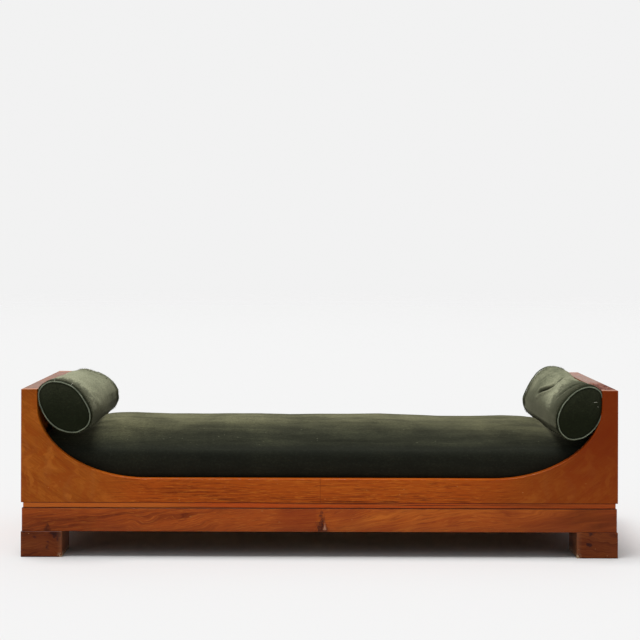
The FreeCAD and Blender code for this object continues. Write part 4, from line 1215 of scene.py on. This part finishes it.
def cord_tree():
    """Tube along a line, which carries how far along and around each point lies."""
    tree = Shape("covered_cord", radius="NodeSocketFloat", step="NodeSocketFloat", sides="NodeSocketInt")

    def marked(geometry, name, measure):
        """A line whose points carry one of their spline parameters."""
        run = tree.add("GeometryNodeSplineParameter").outputs[measure]
        return tree.out("GeometryNodeStoreNamedAttribute", {"Geometry": geometry, "Name": name, "Value": run},
                        data_type="FLOAT", domain="POINT")

    line = tree.out("GeometryNodeMeshToCurve", {0: tree.geometry})
    even = tree.out("GeometryNodeResampleCurve", {"Curve": line, "Length": tree.given("step")}, mode="LENGTH")
    rim = tree.out("GeometryNodeCurvePrimitiveCircle",
                   {"Resolution": tree.given("sides"), "Radius": tree.given("radius")}, mode="RADIUS")
    tube = tree.out("GeometryNodeCurveToMesh", {"Curve": marked(even, "along", "Length"),
                                                "Profile Curve": marked(rim, "around", "Factor"),
                                                "Fill Caps": True})
    tree.close(tree.out("GeometryNodeSetShadeSmooth", {"Geometry": tube}))
    return tree


RING_POINTS = 120


def ring_line(node):
    """Middle line of a piping node, as points round it."""
    points = points_of(frame["nodes"][node].data)
    middle = ring_middle(node)
    turn = np.arctan2(points[:, 2] - middle[1], points[:, 0] - middle[0])
    reach = np.hypot(points[:, 0] - middle[0], points[:, 2] - middle[1])
    level = points[:, 1].mean()
    order = np.argsort(turn)
    turn, reach = turn[order], reach[order]
    found = []
    window = math.pi / 40
    for i in range(RING_POINTS):
        angle = -math.pi + (i + 0.5) * 2 * math.pi / RING_POINTS
        near = np.abs((turn - angle + math.pi) % (2 * math.pi) - math.pi) < window
        middle_reach = (reach[near].min() + reach[near].max()) / 2
        found.append((middle[0] + middle_reach * math.cos(angle), level,
                      middle[1] + middle_reach * math.sin(angle)))
    return found


class DAYBED_OT_bolsters(bpy.types.Operator):
    """Makes the two velvet bolsters with their ruffled pile"""
    bl_idname = "daybed.bolsters"
    bl_label = "Make the bolsters"

    def execute(self, context):
        sizes = context.scene.daybed_cushions
        trim = context.scene.daybed_trim
        look = context.scene.daybed_velvet
        velvet = velvet_material(look, "bolster_velvet", "y", SEAM_AWAY - 0.156)
        pile = tuft_material(look)
        tree = tuft_tree()
        for number, roll in enumerate(ROLLS):
            cover = shaped_roll(roll, sizes)
            set_material(cover, velvet)
            marked_band(cover)
            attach(cover, roll.node)
            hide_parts(roll.node)
            source = new_object("pile_source", [])
            source.data = cover.data.copy()
            tufts = tree.grow(source, roll.node + "_pile", density=trim.tuft_density,
                              length=trim.tuft_length, seed=number + 1, finish=pile)
            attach(tufts, roll.node)
        return {"FINISHED"}


class DAYBED_OT_piping(bpy.types.Operator):
    """Lays the covered cords into the end seams, with a few loose threads"""
    bl_idname = "daybed.piping"
    bl_label = "Make the piping"

    def execute(self, context):
        trim = context.scene.daybed_trim
        cloth = piping_material(context.scene.daybed_velvet)
        thread = thread_material()
        tree = cord_tree()
        for roll in ROLLS:
            for node in roll.cords():
                line = roll.rimmed(np.array(ring_line(node)), 1.0)
                edges = [(i, (i + 1) % RING_POINTS) for i in range(RING_POINTS)]
                cord = tree.grow(new_object("cord_line", line, edges=edges), node + "_cord",
                                 radius=trim.cord_radius, step=2.2 * MM, sides=14, finish=cloth)
                smooth(cord)
                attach(cord, roll.node)
                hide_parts(node)
            for number, places in enumerate(roll.threads, start=1):
                edges = [(i, i + 1) for i in range(len(places) - 1)]
                end = tree.grow(new_object("thread_line", places, edges=edges),
                                f"{roll.node}_thread_{number}", radius=trim.thread_radius,
                                step=0.8 * MM, sides=8, finish=thread)
                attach(end, roll.node)
        return {"FINISHED"}


# Height of the crown over the seat along the bed, where the filling has settled unevenly
CROWN_WAVES = ((-0.70, -0.5), (-0.566, -6.7), (-0.45, -6.9), (-0.34, -5.7), (-0.225, -5.7), (-0.112, -9.0),
               (0.0, -6.2), (0.115, -4.9), (0.23, -2.4), (0.342, -5.5), (0.456, -9.1), (0.57, -7.3),
               (0.70, -1.5))


# The bolsters lie past this distance from the middle
BOLSTER_SIDE = 0.76


class DAYBED_OT_mattress(bpy.types.Operator):
    """Makes the domed velvet mattress, pressed in under the bolsters"""
    bl_idname = "daybed.mattress"
    bl_label = "Make the mattress"

    def execute(self, context):
        sizes = context.scene.daybed_cushions
        cover = remeshed("mattress", "mattress_cover", sizes.mattress_voxel)
        relaxed(cover, 3)
        points = points_of(cover.data)
        on_slats = soft_step(points[:, 2], SEAT_LEVEL + 0.030, SEAT_LEVEL + 0.004)
        at_side = soft_step(np.abs(points[:, 1]), INNER_DEPTH - 0.016, INNER_DEPTH - 0.006) * 0.9
        at_end = soft_step(np.abs(points[:, 0]), INNER_LENGTH - 0.16, INNER_LENGTH - 0.10)
        held = np.maximum.reduce((on_slats, at_side, at_end))
        swollen(cover, sizes, held)
        subdivided(cover)
        points, normals = points_of(cover.data), normals_of(cover.data)
        top = soft_step(points[:, 2], CROWN_TOP - 0.10, CROWN_TOP - 0.06)
        places, heights = zip(*CROWN_WAVES)
        crown = np.interp(points[:, 0], places, heights) * MM
        lift = crown * top * (1.0 - soft_step(np.abs(points[:, 1]), 0.10, 0.30))
        lift += lumps(points, 0.16, 5, (0.6, 1.0, 1.0)) * 2.2 * MM * top
        lift += lumps(points, 0.050, 6, (0.5, 1.0, 1.0)) * 0.7 * MM * top
        # slack of the cover beside the bolsters
        beside = bell(np.abs(points[:, 0]), 0.79, 0.05) * top
        lift += lumps(points, 0.030, 8, (0.35, 1.0, 1.0)) * 1.6 * MM * beside
        # the shoulder waves a little along the bed
        shoulder = bell(points[:, 2], CROWN_TOP - 0.080, 0.018)
        shoulder *= soft_step(np.abs(points[:, 1]), INNER_DEPTH - 0.05, INNER_DEPTH - 0.02)
        lift += (lumps(points, 0.12, 11, (1.0, 0.1, 0.1)) * 2.0 - 0.5) * MM * shoulder
        points = points + normals * lift[:, None]
        for roll in ROLLS:
            other = bpy.data.objects[roll.node + "_cover"]
            tree = BVHTree.FromObject(other, context.evaluated_depsgraph_get())
            outward = points[:, 0] * (1 if roll.word == "right" else -1)
            beneath = (outward > BOLSTER_SIDE) & (points[:, 2] > CROWN_TOP - 0.09)
            points = pushed_clear(points, tree, 1.0 * MM, beneath)
        for axis, inner in enumerate((INNER_LENGTH, INNER_DEPTH)):
            limit = inner - 1.2 * MM
            points[:, axis] = np.clip(points[:, axis], -limit, limit)
        points[:, 2] = np.maximum(points[:, 2], SEAT_LEVEL + 0.25 * MM)
        set_points(cover.data, points)
        velvet = velvet_material(context.scene.daybed_velvet, "mattress_velvet", "x", 9.0)
        set_material(cover, velvet)
        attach(cover, "mattress")
        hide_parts("mattress")
        return {"FINISHED"}


# Stage

FLOOR_REACH = 60.0
KEY_ANGLE = math.radians(30)
KEY_WAY = Vector((0.15, 0.035, -1.0))


def floor_material(tone):
    """Pale floor that fades into the background far away."""
    surface = Surface("studio_floor")
    away = (surface.x * surface.x + surface.y * surface.y) ** 0.5
    return surface.finish(base_color=(tone, tone, tone, 1.0), roughness=1.0, specular_ior_level=0.0,
                          alpha=away.step(30.0, 7.0))


class DAYBED_OT_stage(bpy.types.Operator):
    """Sets the floor, the light and the camera"""
    bl_idname = "daybed.stage"
    bl_label = "Set the stage"

    def execute(self, context):
        scene = context.scene
        setup = scene.daybed_stage
        corners = [(x * FLOOR_REACH, y * FLOOR_REACH, 0) for x, y in ((-1, -1), (1, -1), (1, 1), (-1, 1))]
        floor = new_object("floor", corners, [(0, 1, 2, 3)])
        set_material(floor, floor_material(setup.ground))
        floor.visible_glossy = False

        world = bpy.data.worlds.new("studio")
        scene.world = world
        world.use_nodes = True
        world.node_tree.nodes.clear()
        tree = Tree(world.node_tree.nodes, world.node_tree.links)
        ray = {word: Value(tree, socket) for word, socket in tree.add("ShaderNodeLightPath").outputs.items()}
        way = tree.add("ShaderNodeSeparateXYZ", {0: tree.add("ShaderNodeTexCoord").outputs["Generated"]})
        _, away, up = (Value(tree, socket) for socket in way.outputs)
        direct = ray["Is Camera Ray"].most(ray["Is Transmission Ray"])
        mirrored = ray["Is Glossy Ray"]
        # the studio is bright behind the bed and dark in front of it, and lit from above
        reflection = away.step(-0.35, 0.25) * up.step(-0.04, 0.03) * (setup.paper - 0.01) + 0.01
        soft = up.step(0.0, 0.7) * setup.fill
        rest = (1.0 - direct) * (mirrored * reflection + (1.0 - mirrored) * soft)
        strength = direct * setup.paper + rest
        light = tree.out("ShaderNodeBackground", {"Color": (1, 1, 1, 1), "Strength": strength})
        tree.add("ShaderNodeOutputWorld", {"Surface": light})

        lamp = bpy.data.lights.new("key", "SUN")
        lamp.energy = setup.key
        lamp.angle = KEY_ANGLE
        key = bpy.data.objects.new("key", lamp)
        key.rotation_mode = "QUATERNION"
        key.rotation_quaternion = KEY_WAY.to_track_quat("-Z", "Y")
        scene.collection.objects.link(key)

        view = bpy.data.cameras.new("camera")
        view.lens = setup.lens
        view.sensor_width = 36.0
        view.shift_x, view.shift_y = setup.shift
        camera = bpy.data.objects.new("camera", view)
        camera.location = setup.eye
        camera.rotation_euler = (math.radians(90), setup.roll, 0)
        scene.collection.objects.link(camera)
        scene.camera = camera
        scene.view_settings.view_transform = "Standard"
        return {"FINISHED"}


class DAYBED_PT_panel(bpy.types.Panel):
    bl_idname = "DAYBED_PT_panel"
    bl_label = "Daybed"
    bl_space_type = "VIEW_3D"
    bl_region_type = "UI"
    bl_category = "Daybed"

    def draw(self, context):
        for name, title in GROUPS.items():
            column = self.layout.column()
            column.label(text=title[1])
            owner = getattr(context.scene, name)
            for key in owner.bl_rna.properties.keys():
                if key not in ("rna_type", "name"):
                    column.prop(owner, key)
        for operator in OPERATORS:
            self.layout.operator(operator.bl_idname)


GROUPS = {
    "daybed_wood": (WoodLook, "Wood"),
    "daybed_velvet": (VelvetLook, "Velvet"),
    "daybed_cushions": (CushionSizes, "Cushions"),
    "daybed_trim": (TrimSizes, "Trim"),
    "daybed_stage": (StageSetup, "Stage"),
}
OPERATORS = (DAYBED_OT_stage, DAYBED_OT_wood, DAYBED_OT_screws, DAYBED_OT_bolsters, DAYBED_OT_piping,
             DAYBED_OT_mattress)


def register():
    for name, (group, _) in GROUPS.items():
        bpy.utils.register_class(group)
        setattr(bpy.types.Scene, name, bpy.props.PointerProperty(type=group))
    for kind in (*OPERATORS, DAYBED_PT_panel):
        bpy.utils.register_class(kind)


def unregister():
    for kind in (DAYBED_PT_panel, *reversed(OPERATORS)):
        bpy.utils.unregister_class(kind)
    for name, (group, _) in reversed(GROUPS.items()):
        delattr(bpy.types.Scene, name)
        bpy.utils.unregister_class(group)


def main():
    register()
    for operator in OPERATORS:
        area, name = operator.bl_idname.split(".")
        getattr(getattr(bpy.ops, area), name)()


if __name__ == "__main__":
    main()
